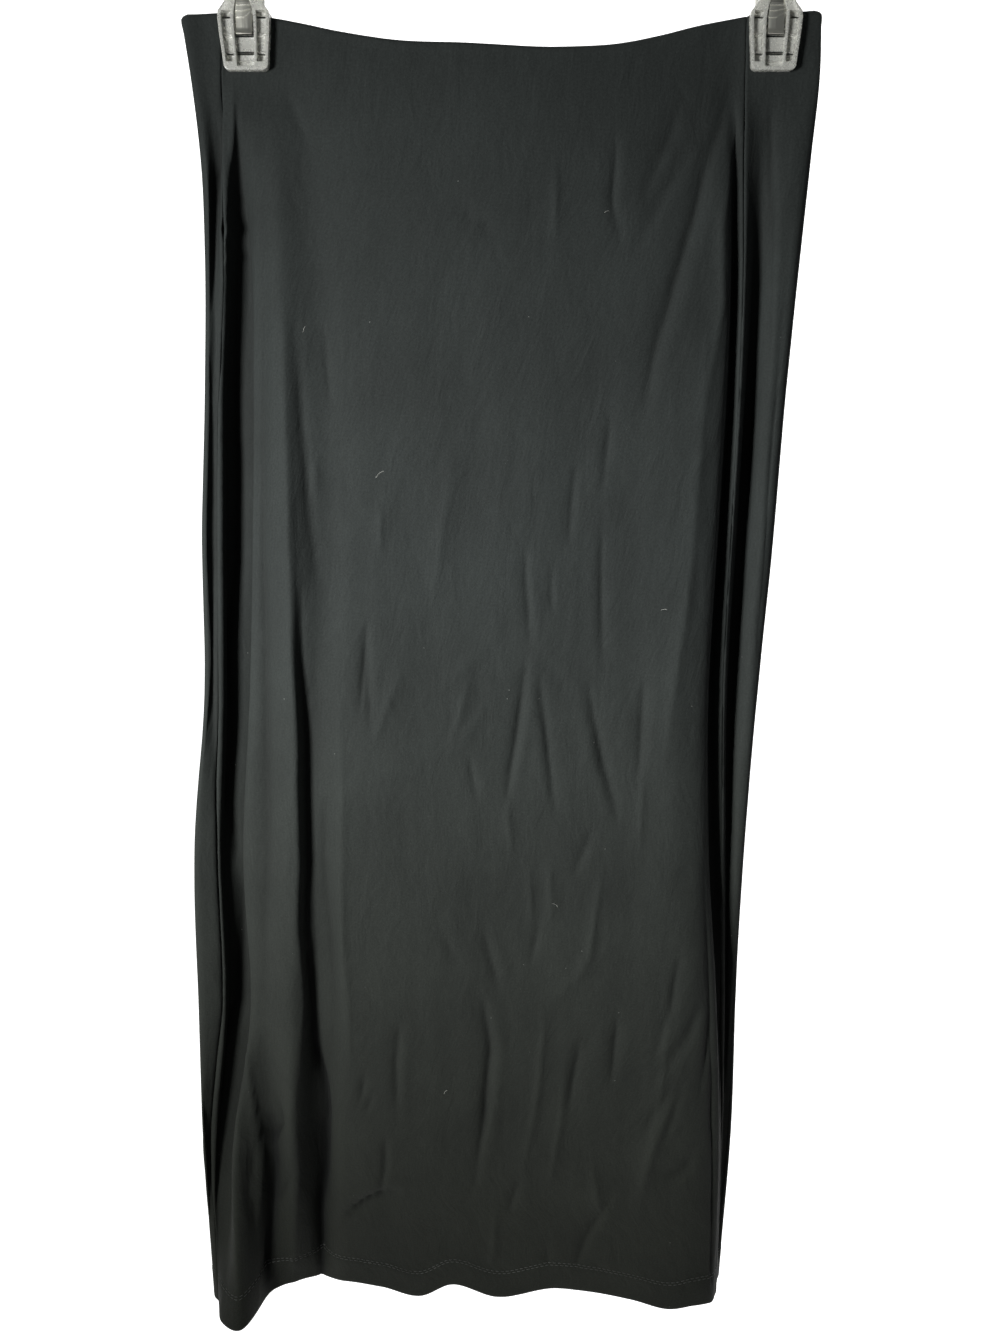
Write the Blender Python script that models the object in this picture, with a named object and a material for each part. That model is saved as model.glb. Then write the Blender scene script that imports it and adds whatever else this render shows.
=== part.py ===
"""Faded black jersey maxi skirt, held at the waist by the two clips of a clip hanger.

Metres, +Z up. The origin is the inner top of the hook, where a rail carries the hanger.
The front of the skirt faces -Y.
"""
import math

import bmesh
import bpy
from mathutils import Vector

MM = 0.001

# Hanger
WIRE_DIAMETER = 3.6 * MM
HOOK_INNER_RADIUS = 19.0 * MM
SHANK_TOP = -52.0 * MM
HOOK_JOIN_ANGLE = math.radians(-40.0)
HOOK_END_ANGLE = math.radians(208.0)
BAR_LENGTH = 366.0 * MM
BAR_TOP = -95.0 * MM
BAR_HEIGHT = 13.0 * MM
BAR_DEPTH = 5.0 * MM
BOSS_DIAMETER = 13.0 * MM
BOSS_HEIGHT = 12.0 * MM
SOCKET_DEPTH = 9.0 * MM

# Clips
CLIP_SPACING = 324.0 * MM
CLIP_BOTTOM = -150.0 * MM
CLIP_HEIGHT = 58.0 * MM
SPRING_WIDTH = 8.6 * MM
SPRING_THICKNESS = 0.8 * MM
SPRING_REACH = 22.0 * MM
GAP = 0.3 * MM

# Cloth
WALL = 1.2 * MM
PINCHED = 0.75
GRIP_HALF_WIDTH = 16.0
GRIP_BOTTOM = -153.0
GRIP_FADE = 26.0
ROWS = 28

# Lines that run down the front panel from the left side seam to the right one. Each row is one
# section: how far down it lies, then each line's place across, in millimetres from the middle.
FRONT_STEPS = (2, 2, 3, 3, 2, 3, 3, 5, 5, 3, 3, 2, 2)
FRONT_ACROSS = (
    # down  seam  wall valley  edge  hollow ridge trough left   mid right ridge edge valley seam
    (0.000, -173, -171, -168, -160, -153, -146, -130, -100, -10, 70, 112, 130, 137, 143),
    (0.030, -176, -173, -169, -161, -154, -147, -130, -100, -10, 70, 112, 131, 138, 144),
    (0.084, -178, -174, -168, -158, -151, -144, -127, -100, -10, 70, 114, 133, 140, 145),
    (0.149, -181, -177, -168, -161, -153, -145, -124, -98, -10, 72, 118, 137, 143, 148),
    (0.235, -190, -186, -170, -166, -157, -147, -121, -98, -10, 75, 121, 138, 145, 150),
    (0.332, -197, -193, -173, -172, -161, -149, -123, -101, -10, 78, 120, 137, 144, 150),
    (0.450, -204, -200, -179, -181, -167, -151, -134, -110, -10, 80, 119, 136, 143, 151),
    (0.580, -215, -211, -190, -193, -176, -156, -140, -113, -10, 82, 122, 142, 150, 158),
    (0.720, -219, -216, -197, -196, -184, -162, -145, -119, -10, 86, 130, 154, 161, 167),
    (0.860, -236, -233, -220, -216, -189, -171, -150, -129, -10, 92, 142, 162, 169, 173),
    (1.000, -236, -234, -229, -211, -192, -173, -154, -133, -10, 98, 145, 164, 169.5, 172),
)
# The same sections and lines: how far back each line lies, in millimetres; less is nearer.
FRONT_DEPTH = (
    (0.000, -0.75, -0.75, -0.75, -0.75, -0.75, -0.75, -2, -5, -9, -6, -2.5, -1, -0.75, -0.75),
    (0.030, -1, -0.9, -0.8, -0.9, -0.9, -1, -3, -7, -11, -8, -3.5, -1.5, -0.9, -1),
    (0.084, -5, -3, 0, -4, -5.5, -6.5, -5.5, -10, -14, -12, -9, -7, -1, -5),
    (0.149, -5, 2, 7, -5, -9, -11, -8, -12, -15, -14, -13, -11, 2, -7),
    (0.235, 0, 8, 12, -6, -11, -14, -10, -13, -15, -16, -17, -13, 3, -7),
    (0.332, 2, 11, 15, -7, -13, -16, -11, -14, -15, -17, -20, -15, 3, -6),
    (0.450, 3, 13, 17, -7, -14, -18, -12, -16, -15, -18, -22, -16, 4, -4),
    (0.580, 4, 13, 17, -6, -13, -18, -10, -16, -14, -18, -22, -15, 5, 1),
    (0.720, 3, 12, 16, -5, -9, -16, -4, -14, -13, -18, -22, -16, 4, 8),
    (0.860, 3, 9, 12, -10, 4, -9, 5, -7, -11, -19, -22, -18, 0, 10),
    (1.000, -14, -20, -32, -40, -8, -1, 5, -1, -12, -20, -25, -22, -13, -6),
)

# Lines that run down the back panel, from the right seam round the back to the left seam.
BACK_STEPS = (3, 2, 3, 2, 2, 3, 4, 4, 4, 4, 3, 3, 2, 2, 2, 2)
BACK_ACROSS = (
    # down  notch flap  turn   side   turn  six lines over the back         turn    side    turn  nick
    (0.000, 152, 166, 186.2, 188.0, 186.2, 150, 75, 15, -50, -110, -165, -196.5, -198.5, -196.5, -185),
    (0.030, 153, 167, 187.0, 189.6, 187.0, 149, 75, 15, -50, -110, -164, -192.8, -195.5, -192.8, -184),
    (0.084, 157, 165, 184.0, 188.0, 184.0, 145, 75, 15, -50, -110, -162, -188.2, -192.7, -188.7, -183),
    (0.149, 159, 167, 181.2, 185.7, 181.2, 138, 75, 15, -50, -110, -162, -188.7, -194.7, -191.2, -186),
    (0.235, 160, 168, 178.0, 183.2, 177.0, 132, 75, 15, -50, -112, -165, -192.3, -200.8, -197.8, -193),
    (0.332, 160, 168, 176.6, 182.0, 173.6, 128, 75, 15, -50, -114, -170, -199.3, -209.8, -206.8, -201),
    (0.450, 159, 167, 174.4, 178.6, 169.2, 124, 75, 15, -50, -118, -176, -205.6, -216.6, -213.6, -209),
    (0.580, 164, 169, 173.7, 176.4, 167.2, 121, 76, 15, -52, -122, -187, -220.1, -232.6, -230.1, -222),
    (0.720, 170, 173, 176.8, 178.0, 168.0, 120, 78, 15, -55, -128, -193, -226.2, -238.7, -236.2, -227),
    (0.860, 175, 177, 181.6, 182.6, 170.6, 121, 80, 15, -58, -134, -198, -230.6, -241.6, -242.6, -240),
    (1.000, 173.2, 175.2, 177.6, 178.2, 166.5, 121, 80, 15, -60, -138, -199, -228.6, -240.8, -242.3, -240),
)
BACK_DEPTH = (
    (0.000, -0.75, -0.75, -1.8, 0, 1.8, 0.75, 4.5, 7.5, 7, 3.5, 0.75, 1.8, 0, -1.8, -0.75),
    (0.030, -0.9, -0.9, -2.2, 0, 2.4, 1.4, 6.5, 9.5, 9, 5, 1.2, 2.4, 0, -2.2, -0.6),
    (0.084, 0, -3, -3.5, 1.5, 6, 8, 12, 14, 14, 11, 6, 6, 1, -3.5, -1),
    (0.149, 5, -4.5, -5, 3, 12, 15, 17, 18, 19, 17, 14, 13, 3, -4, -1),
    (0.235, 9, -4, -5, 6, 18, 21, 21, 21, 23, 21, 21, 20, 5, -3, -1),
    (0.332, 11, -2, -3, 9, 21, 25, 23, 23, 26, 23, 27, 25, 7, -1, 1),
    (0.450, 12, 1, 0, 12, 24, 29, 23, 25, 28, 24, 31, 27, 9, 0, 1),
    (0.580, 14, 5, 5, 15, 26, 33, 23, 27, 30, 25, 33, 28, 10, 0, 1),
    (0.720, 15, 12, 13, 19, 28, 37, 24, 29, 33, 26, 36, 29, 12, 0, 0),
    (0.860, 15, 17, 19, 23, 31, 40, 25, 31, 35, 27, 38, 31, 12, -1, 1),
    (1.000, -1.5, 4, 10, 16, 30, 42, 26, 33, 37, 28, 40, 33, 10, -3, -10),
)

# Height of the waist edge and of the hem edge against the place across, in millimetres.
FRONT_WAIST = (
    (-198, -119), (-178, -118), (-140, -121), (-103, -129), (-67, -134.4), (-30, -136.2), (30, -138.3),
    (67, -135.8), (91, -131), (115, -125), (140, -120.2), (162, -117.6), (189, -116.2),
)
BACK_WAIST = (
    (-198, -119), (-165, -118), (-110, -128), (-50, -135.6), (30, -138.3), (90, -131), (140, -120.2),
    (189, -116.2),
)
FRONT_HEM = (
    (-240, -1056), (-217, -1058), (-193, -1052), (-173, -1048), (-154, -1051), (-130, -1049), (-104, -1051),
    (-70, -1057), (-47, -1044.5), (-10, -1053.5), (39, -1041.5), (70, -1043), (100, -1047.5), (130, -1053.5),
    (150, -1049.5), (162, -1049.5), (172, -1053),
)
BACK_HEM = ((-246, -1056), (-150, -1052), (0, -1054), (120, -1051), (178, -1054))

# The clip's moulding: height above its lower edge, half width, then how far each band stands out.
# The bands run outwards from the middle: channel floor, inner rib, side channel, outer rim.
CLIP_BANDS = (0.44, 0.56, 0.81, 1.0)
CLIP_ROWS = (
    # up  half width  floor  rib  side  rim
    (0.0, 11.0, 6.4, 6.4, 6.4, 6.4),
    (1.0, 12.6, 6.4, 6.4, 6.4, 6.4),
    (2.4, 13.3, 4.4, 6.4, 6.4, 6.4),
    (7.6, 13.9, 5.2, 6.4, 6.4, 6.4),
    (9.0, 14.0, 4.4, 6.4, 4.4, 6.4),
    (16.0, 14.8, 5.2, 6.4, 4.4, 6.4),
    (17.6, 14.9, 4.4, 6.4, 4.4, 6.4),
    (25.4, 15.8, 4.4, 6.4, 6.4, 6.4),
    (29.0, 15.85, 4.4, 6.4, 6.4, 6.4),
    (33.0, 13.8, 4.4, 6.4, 6.4, 6.4),
    (37.0, 10.9, 4.4, 6.4, 6.4, 6.4),
    (52.0, 10.9, 4.4, 6.4, 6.4, 6.4),
    (58.0, 10.5, 4.4, 6.4, 6.4, 6.4),
)
JAW_INSIDE = 1.65 * MM
JAW_RELIEF = 2.8 * MM
RELIEF_FROM = 37.0 * MM


def clear_scene():
    """Remove whatever the scene holds."""
    for item in list(bpy.data.objects):
        bpy.data.objects.remove(item, do_unlink=True)


def srgb(value):
    """Turn one sRGB channel, 0 to 255, into a linear value."""
    level = value / 255.0
    return level / 12.92 if level <= 0.04045 else ((level + 0.055) / 1.055) ** 2.4


def material(name, colour, roughness, metallic=0.0, alpha=1.0):
    """Make a Principled material."""
    made = bpy.data.materials.new(name)
    made.use_nodes = True
    shader = made.node_tree.nodes["Principled BSDF"]
    shader.inputs["Base Color"].default_value = (*[srgb(c) for c in colour], 1.0)
    shader.inputs["Roughness"].default_value = roughness
    shader.inputs["Metallic"].default_value = metallic
    shader.inputs["Alpha"].default_value = alpha
    return made


def tangents(knots, values):
    """Slopes of a smooth curve at unevenly spaced knots."""
    count = len(knots)
    slopes = []
    for i in range(count):
        if i in (0, count - 1):
            near = (0, 1) if i == 0 else (count - 2, count - 1)
            slopes.append((values[near[1]] - values[near[0]]) / (knots[near[1]] - knots[near[0]]))
            continue
        before = knots[i] - knots[i - 1]
        after = knots[i + 1] - knots[i]
        rise_before = (values[i] - values[i - 1]) / before
        rise_after = (values[i + 1] - values[i]) / after
        slopes.append((rise_before * after + rise_after * before) / (before + after))
    return slopes


def hermite(start, end, slope_start, slope_end, span, t):
    """One stretch of a smooth curve, t from 0 to 1."""
    return (
        start * (2 * t**3 - 3 * t**2 + 1)
        + slope_start * span * (t**3 - 2 * t**2 + t)
        + end * (3 * t**2 - 2 * t**3)
        + slope_end * span * (t**3 - t**2)
    )


def smooth(knots, values, at):
    """Read a smooth curve through the values."""
    at = min(max(at, knots[0]), knots[-1])
    slopes = tangents(knots, values)
    i = 0
    while i < len(knots) - 2 and at > knots[i + 1]:
        i += 1
    span = knots[i + 1] - knots[i]
    return hermite(values[i], values[i + 1], slopes[i], slopes[i + 1], span, (at - knots[i]) / span)


def edge_height(table, across):
    """Height of a waist or hem edge at a place across."""
    return smooth([row[0] for row in table], [row[1] for row in table], across)


def section_points(across, depth, down):
    """Where a table's lines cross the section that lies this far down, in millimetres."""
    knots = [row[0] for row in across]
    lines = range(1, len(across[0]))
    return [
        Vector((smooth(knots, [row[i] for row in across], down), smooth(knots, [row[i] for row in depth], down)))
        for i in lines
    ]


def loop_samples(points, steps):
    """Read a closed smooth loop through points, with a number of steps from each to the next."""
    count = len(points)
    samples = []
    for i in range(count):
        near = [points[(i + k) % count] for k in (-1, 0, 1, 2)]
        widths = [math.sqrt(max((near[k + 1] - near[k]).length, 0.0025)) for k in range(3)]
        marks = [0.0, widths[0], widths[0] + widths[1], sum(widths)]
        slopes_x = tangents(marks, [p.x for p in near])
        slopes_y = tangents(marks, [p.y for p in near])
        for k in range(steps[i]):
            t = k / steps[i]
            samples.append(Vector((
                hermite(near[1].x, near[2].x, slopes_x[1], slopes_x[2], widths[1], t),
                hermite(near[1].y, near[2].y, slopes_y[1], slopes_y[2], widths[1], t),
            )))
    return samples


def whole_section(down):
    """The skirt's section this far down: both panels' samples, in one closed round."""
    front = section_points(FRONT_ACROSS, FRONT_DEPTH, down)
    back = section_points(BACK_ACROSS, BACK_DEPTH, down)
    return loop_samples(front + back, FRONT_STEPS + BACK_STEPS)


def panel_columns(is_back):
    """The numbers of the samples that make one panel, from seam to seam."""
    seam = sum(FRONT_STEPS)
    return range(seam, seam + sum(BACK_STEPS) + 1) if is_back else range(seam + 1)


def grip(across, height):
    """How firmly the nearer clip holds the cloth flat here, from 0 to 1; millimetres."""
    aside = max(0.0, abs(abs(across) - CLIP_SPACING / MM / 2) - GRIP_HALF_WIDTH)
    below = max(0.0, GRIP_BOTTOM - height)
    away = min(1.0, math.hypot(aside, below) / GRIP_FADE)
    return 1.0 - away * away * (3.0 - 2.0 * away)


def held_section(down, top, waist, hem, bottom):
    """A section's points in space, drawn flat where a clip holds them; millimetres."""
    placed = []
    for sample, first, last in zip(whole_section(down), top, bottom):
        high = edge_height(waist, first.x)
        low = edge_height(hem, last.x)
        height = high + (low - high) * down
        held = grip(sample.x, height)
        flat = min(max(first.y, -PINCHED), PINCHED)
        placed.append(Vector((sample.x, sample.y + (flat - sample.y) * held, height)))
    return placed


def wall_points(placed, columns):
    """The outer and the inner points of a panel's wall along one section."""
    count = len(placed)
    outer, inner = [], []
    for number in columns:
        here = placed[number % count]
        along = placed[(number + 1) % count] - placed[(number - 1) % count]
        along.z = 0.0
        along.normalize()
        shift = along * (GAP / MM / 2)
        if number == columns[0]:
            here = here + shift
        elif number == columns[-1]:
            here = here - shift
        out = Vector((along.y, -along.x, 0.0)) * (WALL / MM / 2)
        outer.append((here + out) * MM)
        inner.append((here - out) * MM)
    return outer, inner


def cloth_panel(name, is_back, waist, hem, look):
    """Build one panel of the skirt as a closed wall of even thickness."""
    columns = panel_columns(is_back)
    top = whole_section(0.0)
    bottom = whole_section(1.0)
    shape = bmesh.new()
    layers = ([], [])
    for k in range(ROWS + 1):
        placed = held_section(k / ROWS, top, waist, hem, bottom)
        for layer, points in zip(layers, wall_points(placed, columns)):
            layer.append([shape.verts.new(point) for point in points])
    outer, inner = layers
    for r in range(ROWS):
        for c in range(len(columns) - 1):
            shape.faces.new((outer[r][c], outer[r + 1][c], outer[r + 1][c + 1], outer[r][c + 1]))
            shape.faces.new((inner[r][c], inner[r][c + 1], inner[r + 1][c + 1], inner[r + 1][c]))
        for c in (0, -1):
            shape.faces.new((outer[r][c], inner[r][c], inner[r + 1][c], outer[r + 1][c]))
    for r in (0, -1):
        for c in range(len(columns) - 1):
            shape.faces.new((outer[r][c], outer[r][c + 1], inner[r][c + 1], inner[r][c]))
    bmesh.ops.recalc_face_normals(shape, faces=shape.faces)
    mesh = bpy.data.meshes.new(name)
    shape.to_mesh(mesh)
    shape.free()
    mesh.shade_smooth()
    mesh.set_sharp_from_angle(angle=math.radians(50.0))
    mesh.materials.append(look)
    panel = bpy.data.objects.new(name, mesh)
    bpy.context.collection.objects.link(panel)
    return panel


def wire_route():
    """Points along the middle of the hook's wire, from its foot to its tip."""
    radius = HOOK_INNER_RADIUS + WIRE_DIAMETER / 2
    centre = Vector((0.0, 0.0, -HOOK_INNER_RADIUS))
    foot = BAR_TOP + BOSS_HEIGHT - SOCKET_DEPTH + GAP
    route = [Vector((0.0, 0.0, foot)), Vector((0.0, 0.0, (foot + SHANK_TOP) / 2))]
    start = Vector((0.0, 0.0, SHANK_TOP))
    join = centre + Vector((math.cos(HOOK_JOIN_ANGLE), 0.0, math.sin(HOOK_JOIN_ANGLE))) * radius
    reach = (join - start).length * 1.1
    leave = Vector((0.0, 0.0, 1.0)) * reach
    arrive = Vector((-math.sin(HOOK_JOIN_ANGLE), 0.0, math.cos(HOOK_JOIN_ANGLE))) * reach
    route += [hermite(start, join, leave, arrive, 1.0, k / 8) for k in range(8)]
    turns = 32
    for k in range(turns + 1):
        angle = HOOK_JOIN_ANGLE + (HOOK_END_ANGLE - HOOK_JOIN_ANGLE) * k / turns
        route.append(centre + Vector((math.cos(angle), 0.0, math.sin(angle))) * radius)
    return route


def build_hook(look):
    """The bent wire hook."""
    curve = bpy.data.curves.new("hanger_hook", "CURVE")
    curve.dimensions = "3D"
    curve.bevel_depth = WIRE_DIAMETER / 2
    curve.bevel_resolution = 3
    curve.use_fill_caps = True
    route = wire_route()
    spline = curve.splines.new("POLY")
    spline.points.add(len(route) - 1)
    for point, place in zip(spline.points, route):
        point.co = (*place, 1.0)
    curve.materials.append(look)
    hook = bpy.data.objects.new("hanger_hook", curve)
    bpy.context.collection.objects.link(hook)
    return hook


def cylinder(name, diameter, length, centre, sides):
    """A plain upright cylinder."""
    mesh = bpy.data.meshes.new(name)
    shape = bmesh.new()
    bmesh.ops.create_cone(
        shape, cap_ends=True, segments=sides, radius1=diameter / 2, radius2=diameter / 2, depth=length
    )
    bmesh.ops.translate(shape, verts=shape.verts, vec=centre)
    shape.to_mesh(mesh)
    shape.free()
    made = bpy.data.objects.new(name, mesh)
    bpy.context.collection.objects.link(made)
    return made


def build_bar(look):
    """The moulded bar with the boss that takes the hook's foot."""
    mesh = bpy.data.meshes.new("hanger_bar")
    shape = bmesh.new()
    bmesh.ops.create_cube(shape, size=1.0)
    bmesh.ops.scale(shape, vec=(BAR_LENGTH, BAR_DEPTH, BAR_HEIGHT), verts=shape.verts)
    bmesh.ops.translate(shape, verts=shape.verts, vec=(0.0, 0.0, BAR_TOP - BAR_HEIGHT / 2))
    edges = [e for e in shape.edges if abs((e.verts[1].co - e.verts[0].co).x) > BAR_LENGTH / 2]
    bmesh.ops.bevel(shape, geom=edges, offset=1.2 * MM, segments=2, profile=0.5, affect="EDGES")
    shape.to_mesh(mesh)
    shape.free()
    mesh.materials.append(look)
    bar = bpy.data.objects.new("hanger_bar", mesh)
    bpy.context.collection.objects.link(bar)
    overlap = 4.0 * MM
    boss = cylinder(
        "boss", BOSS_DIAMETER, BOSS_HEIGHT + overlap, (0.0, 0.0, BAR_TOP + (BOSS_HEIGHT - overlap) / 2), 24
    )
    socket = cylinder(
        "socket", WIRE_DIAMETER + 2 * GAP, SOCKET_DEPTH * 2, (0.0, 0.0, BAR_TOP + BOSS_HEIGHT), 16
    )
    for cutter, operation in ((boss, "UNION"), (socket, "DIFFERENCE")):
        cutter.hide_render = True
        cutter.display_type = "WIRE"
        change = bar.modifiers.new(operation.lower(), "BOOLEAN")
        change.operation = operation
        change.object = cutter
        change.solver = "EXACT"
    return bar


def jaw_columns():
    """Boundaries of the moulded bands across a jaw, as shares of its half width."""
    half = [0.0] + list(CLIP_BANDS)
    return [-share for share in reversed(half[1:])] + half


def build_jaw(name, centre_x, side, look):
    """One jaw of a clip. The side is -1 for the front jaw and 1 for the back one."""
    shares = jaw_columns()
    band_of = [3, 2, 1, 0, 0, 1, 2, 3]
    mesh = bpy.data.meshes.new(name)
    shape = bmesh.new()
    corner = {}

    def vertex(column, row, depth):
        """A corner of the moulding, made once."""
        key = (column, row, round(depth / MM, 3))
        if key not in corner:
            up, half_width = CLIP_ROWS[row][0] * MM, CLIP_ROWS[row][1] * MM
            corner[key] = shape.verts.new((centre_x + shares[column] * half_width, side * depth, CLIP_BOTTOM + up))
        return corner[key]

    def inside(row):
        """How far from the middle the jaw's inner face lies in a row of cells."""
        return JAW_RELIEF if CLIP_ROWS[row][0] * MM >= RELIEF_FROM else JAW_INSIDE

    rows = len(CLIP_ROWS) - 1
    columns = len(shares) - 1

    def level(column, row):
        """How far out a cell stands."""
        if column < 0 or row < 0 or column >= columns or row >= rows:
            return None
        return CLIP_ROWS[row][2 + band_of[column]] * MM

    def heights_at(column, row):
        """Every height at which the cells round a corner stand, outside and inside."""
        found = set()
        for c in (column - 1, column):
            for r in (row - 1, row):
                if level(c, r) is not None:
                    found.update((level(c, r), inside(r)))
        return sorted(found)

    def wall(corner_a, corner_b, one, other):
        """A face between two heights along one cell border, with a point at each height it passes."""
        low, high = min(one, other), max(one, other)
        rising = [h for h in heights_at(*corner_b) if low <= h <= high]
        falling = [h for h in reversed(heights_at(*corner_a)) if low <= h <= high]
        shape.faces.new([vertex(*corner_b, h) for h in rising] + [vertex(*corner_a, h) for h in falling])

    for row in range(rows):
        for column in range(columns):
            out = level(column, row)
            cell = ((column, row), (column + 1, row), (column + 1, row + 1), (column, row + 1))
            shape.faces.new([vertex(*c, out) for c in cell])
            shape.faces.new([vertex(*c, inside(row)) for c in cell])
            borders = (
                ((column, row), (column + 1, row), level(column, row - 1), inside(row - 1) if row else None),
                ((column, row + 1), (column + 1, row + 1), level(column, row + 1), None),
                ((column, row), (column, row + 1), level(column - 1, row), None),
                ((column + 1, row), (column + 1, row + 1), level(column + 1, row), None),
            )
            for a, b, beyond, inner in borders:
                if beyond is None:
                    wall(a, b, inside(row), out)
                elif beyond < out:
                    wall(a, b, beyond, out)
                if inner is not None and inner != inside(row):
                    wall(a, b, inner, inside(row))
    bmesh.ops.remove_doubles(shape, verts=shape.verts, dist=0.00001)
    bmesh.ops.recalc_face_normals(shape, faces=shape.faces)
    shape.to_mesh(mesh)
    shape.free()
    mesh.materials.append(look)
    jaw = bpy.data.objects.new(name, mesh)
    bpy.context.collection.objects.link(jaw)
    return jaw


def build_spring(name, centre_x, look):
    """The bent steel strip that goes over the bar and presses both jaws together."""
    inner = 4.4 * MM + GAP
    middle = inner + SPRING_THICKNESS / 2
    foot = CLIP_BOTTOM + SPRING_REACH
    shoulder = BAR_TOP + 2.0 * MM
    profile = [(-middle - 1.0 * MM, foot), (-middle, foot + 3.0 * MM)]
    for k in range(9):
        angle = math.pi - math.pi * k / 8
        profile.append((math.cos(angle) * middle, shoulder + math.sin(angle) * middle))
    profile += [(middle, foot + 3.0 * MM), (middle + 1.0 * MM, foot)]
    mesh = bpy.data.meshes.new(name)
    shape = bmesh.new()
    rows = []
    for x in (-SPRING_WIDTH / 2, SPRING_WIDTH / 2):
        rows.append([shape.verts.new((centre_x + x, y, z)) for y, z in profile])
    for k in range(len(profile) - 1):
        shape.faces.new((rows[0][k], rows[1][k], rows[1][k + 1], rows[0][k + 1]))
    shape.to_mesh(mesh)
    shape.free()
    mesh.materials.append(look)
    spring = bpy.data.objects.new(name, mesh)
    bpy.context.collection.objects.link(spring)
    sheet = spring.modifiers.new("sheet", "SOLIDIFY")
    sheet.thickness = SPRING_THICKNESS
    sheet.offset = 0.0
    sheet.use_even_offset = True
    return spring


def main():
    """Build the skirt and its hanger."""
    clear_scene()
    front_jersey = material("front_jersey", (54, 56, 55), 0.9)
    back_jersey = material("back_jersey", (48, 50, 49), 0.9)
    plastic = material("clear_plastic", (214, 213, 206), 0.15, alpha=0.6)
    steel = material("spring_steel", (196, 194, 186), 0.3, metallic=1.0)
    chrome = material("chromed_wire", (205, 205, 205), 0.15, metallic=1.0)
    cloth_panel("skirt_front", False, FRONT_WAIST, FRONT_HEM, front_jersey)
    cloth_panel("skirt_back", True, BACK_WAIST, BACK_HEM, back_jersey)
    build_hook(chrome)
    build_bar(plastic)
    for hand, place in (("left", -CLIP_SPACING / 2), ("right", CLIP_SPACING / 2)):
        build_jaw(f"clip_{hand}_front_jaw", place, -1, plastic)
        build_jaw(f"clip_{hand}_back_jaw", place, 1, plastic)
        build_spring(f"clip_{hand}_spring", place, steel)


main()
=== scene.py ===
"""Dressed model of a faded black jersey maxi skirt, hung by the two clips of a clear clip hanger."""

import logging
import math
from dataclasses import dataclass, field
from enum import Enum

import bmesh
import bpy
import numpy as np
from mathutils import Euler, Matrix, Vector, noise


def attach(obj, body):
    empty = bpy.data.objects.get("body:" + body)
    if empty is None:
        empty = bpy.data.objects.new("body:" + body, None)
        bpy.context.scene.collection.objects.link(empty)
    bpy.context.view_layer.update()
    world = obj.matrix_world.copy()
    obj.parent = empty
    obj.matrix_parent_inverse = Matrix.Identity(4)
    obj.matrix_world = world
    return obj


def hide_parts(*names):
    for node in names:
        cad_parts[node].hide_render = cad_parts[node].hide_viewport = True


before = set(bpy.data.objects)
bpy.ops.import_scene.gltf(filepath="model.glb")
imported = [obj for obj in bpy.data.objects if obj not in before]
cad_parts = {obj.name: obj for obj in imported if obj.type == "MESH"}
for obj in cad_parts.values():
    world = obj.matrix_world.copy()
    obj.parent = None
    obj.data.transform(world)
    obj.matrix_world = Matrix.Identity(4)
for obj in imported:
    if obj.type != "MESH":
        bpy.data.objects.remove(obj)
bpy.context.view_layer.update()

LOG = logging.getLogger("maxi_skirt")
MM = 0.001
MIX_COLOURS = {"data_type": "RGBA"}
NOISE_SPAN = {"From Min": 0.3, "From Max": 0.7}  # where nearly all of a noise texture's values lie
Row = tuple[float, ...]
Table = tuple[Row, ...]


# Small helpers

def linear(code: str, alpha: float = 1.0) -> tuple[float, float, float, float]:
    """Turn an sRGB hex colour into linear values.

    Args:
        code: Six hex digits after a hash sign.
        alpha: The fourth value.

    Returns:
        Linear red, green and blue, and the fourth value.
    """
    parts = [int(code[i:i + 2], 16) / 255 for i in (1, 3, 5)]
    red, green, blue = (p / 12.92 if p <= 0.04045 else ((p + 0.055) / 1.055) ** 2.4 for p in parts)
    return red, green, blue, alpha


def add_node(
    tree: bpy.types.NodeTree, kind: str, settings: dict | None = None,
    values: dict | None = None, links: dict | None = None,
) -> bpy.types.Node:
    """Add a shader node.

    Args:
        tree: The material's node tree.
        kind: The node's type name, without its ShaderNode prefix.
        settings: Attributes to set on the node.
        values: Default values, by socket name or number.
        links: Sockets that feed the node, by input name or number.

    Returns:
        The new node.
    """
    node = tree.nodes.new("ShaderNode" + kind)
    for name, value in (settings or {}).items():
        setattr(node, name, value)
    for name, value in (values or {}).items():
        node.inputs[name].default_value = value
    for name, socket in (links or {}).items():
        tree.links.new(socket, node.inputs[name])
    return node


def new_material(name: str) -> tuple[bpy.types.Material, bpy.types.NodeTree, bpy.types.Node]:
    """Start a material with a Principled shader.

    Args:
        name: The material's name.

    Returns:
        The material, its node tree and its Principled node.
    """
    made = bpy.data.materials.new(name)
    made.use_nodes = True
    return made, made.node_tree, made.node_tree.nodes["Principled BSDF"]


def add_object(name: str, mesh: bpy.types.Mesh, look: bpy.types.Material) -> bpy.types.Object:
    """Put a mesh in the scene under a name.

    Args:
        name: The piece's name.
        mesh: Its mesh, already in place.
        look: Its material.

    Returns:
        The new object.
    """
    mesh.materials.append(look)
    made = bpy.data.objects.new(name, mesh)
    bpy.context.scene.collection.objects.link(made)
    return made


def as_mesh(name: str, shape: bmesh.types.BMesh, smooth_below: float = 40.0) -> bpy.types.Mesh:
    """Turn a bmesh into a shaded mesh and free it.

    Args:
        name: The mesh's name.
        shape: The bmesh.
        smooth_below: Edges sharper than this many degrees stay sharp.

    Returns:
        The mesh.
    """
    mesh = bpy.data.meshes.new(name)
    shape.to_mesh(mesh)
    shape.free()
    mesh.shade_smooth()
    mesh.set_sharp_from_angle(angle=math.radians(smooth_below))
    return mesh


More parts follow.
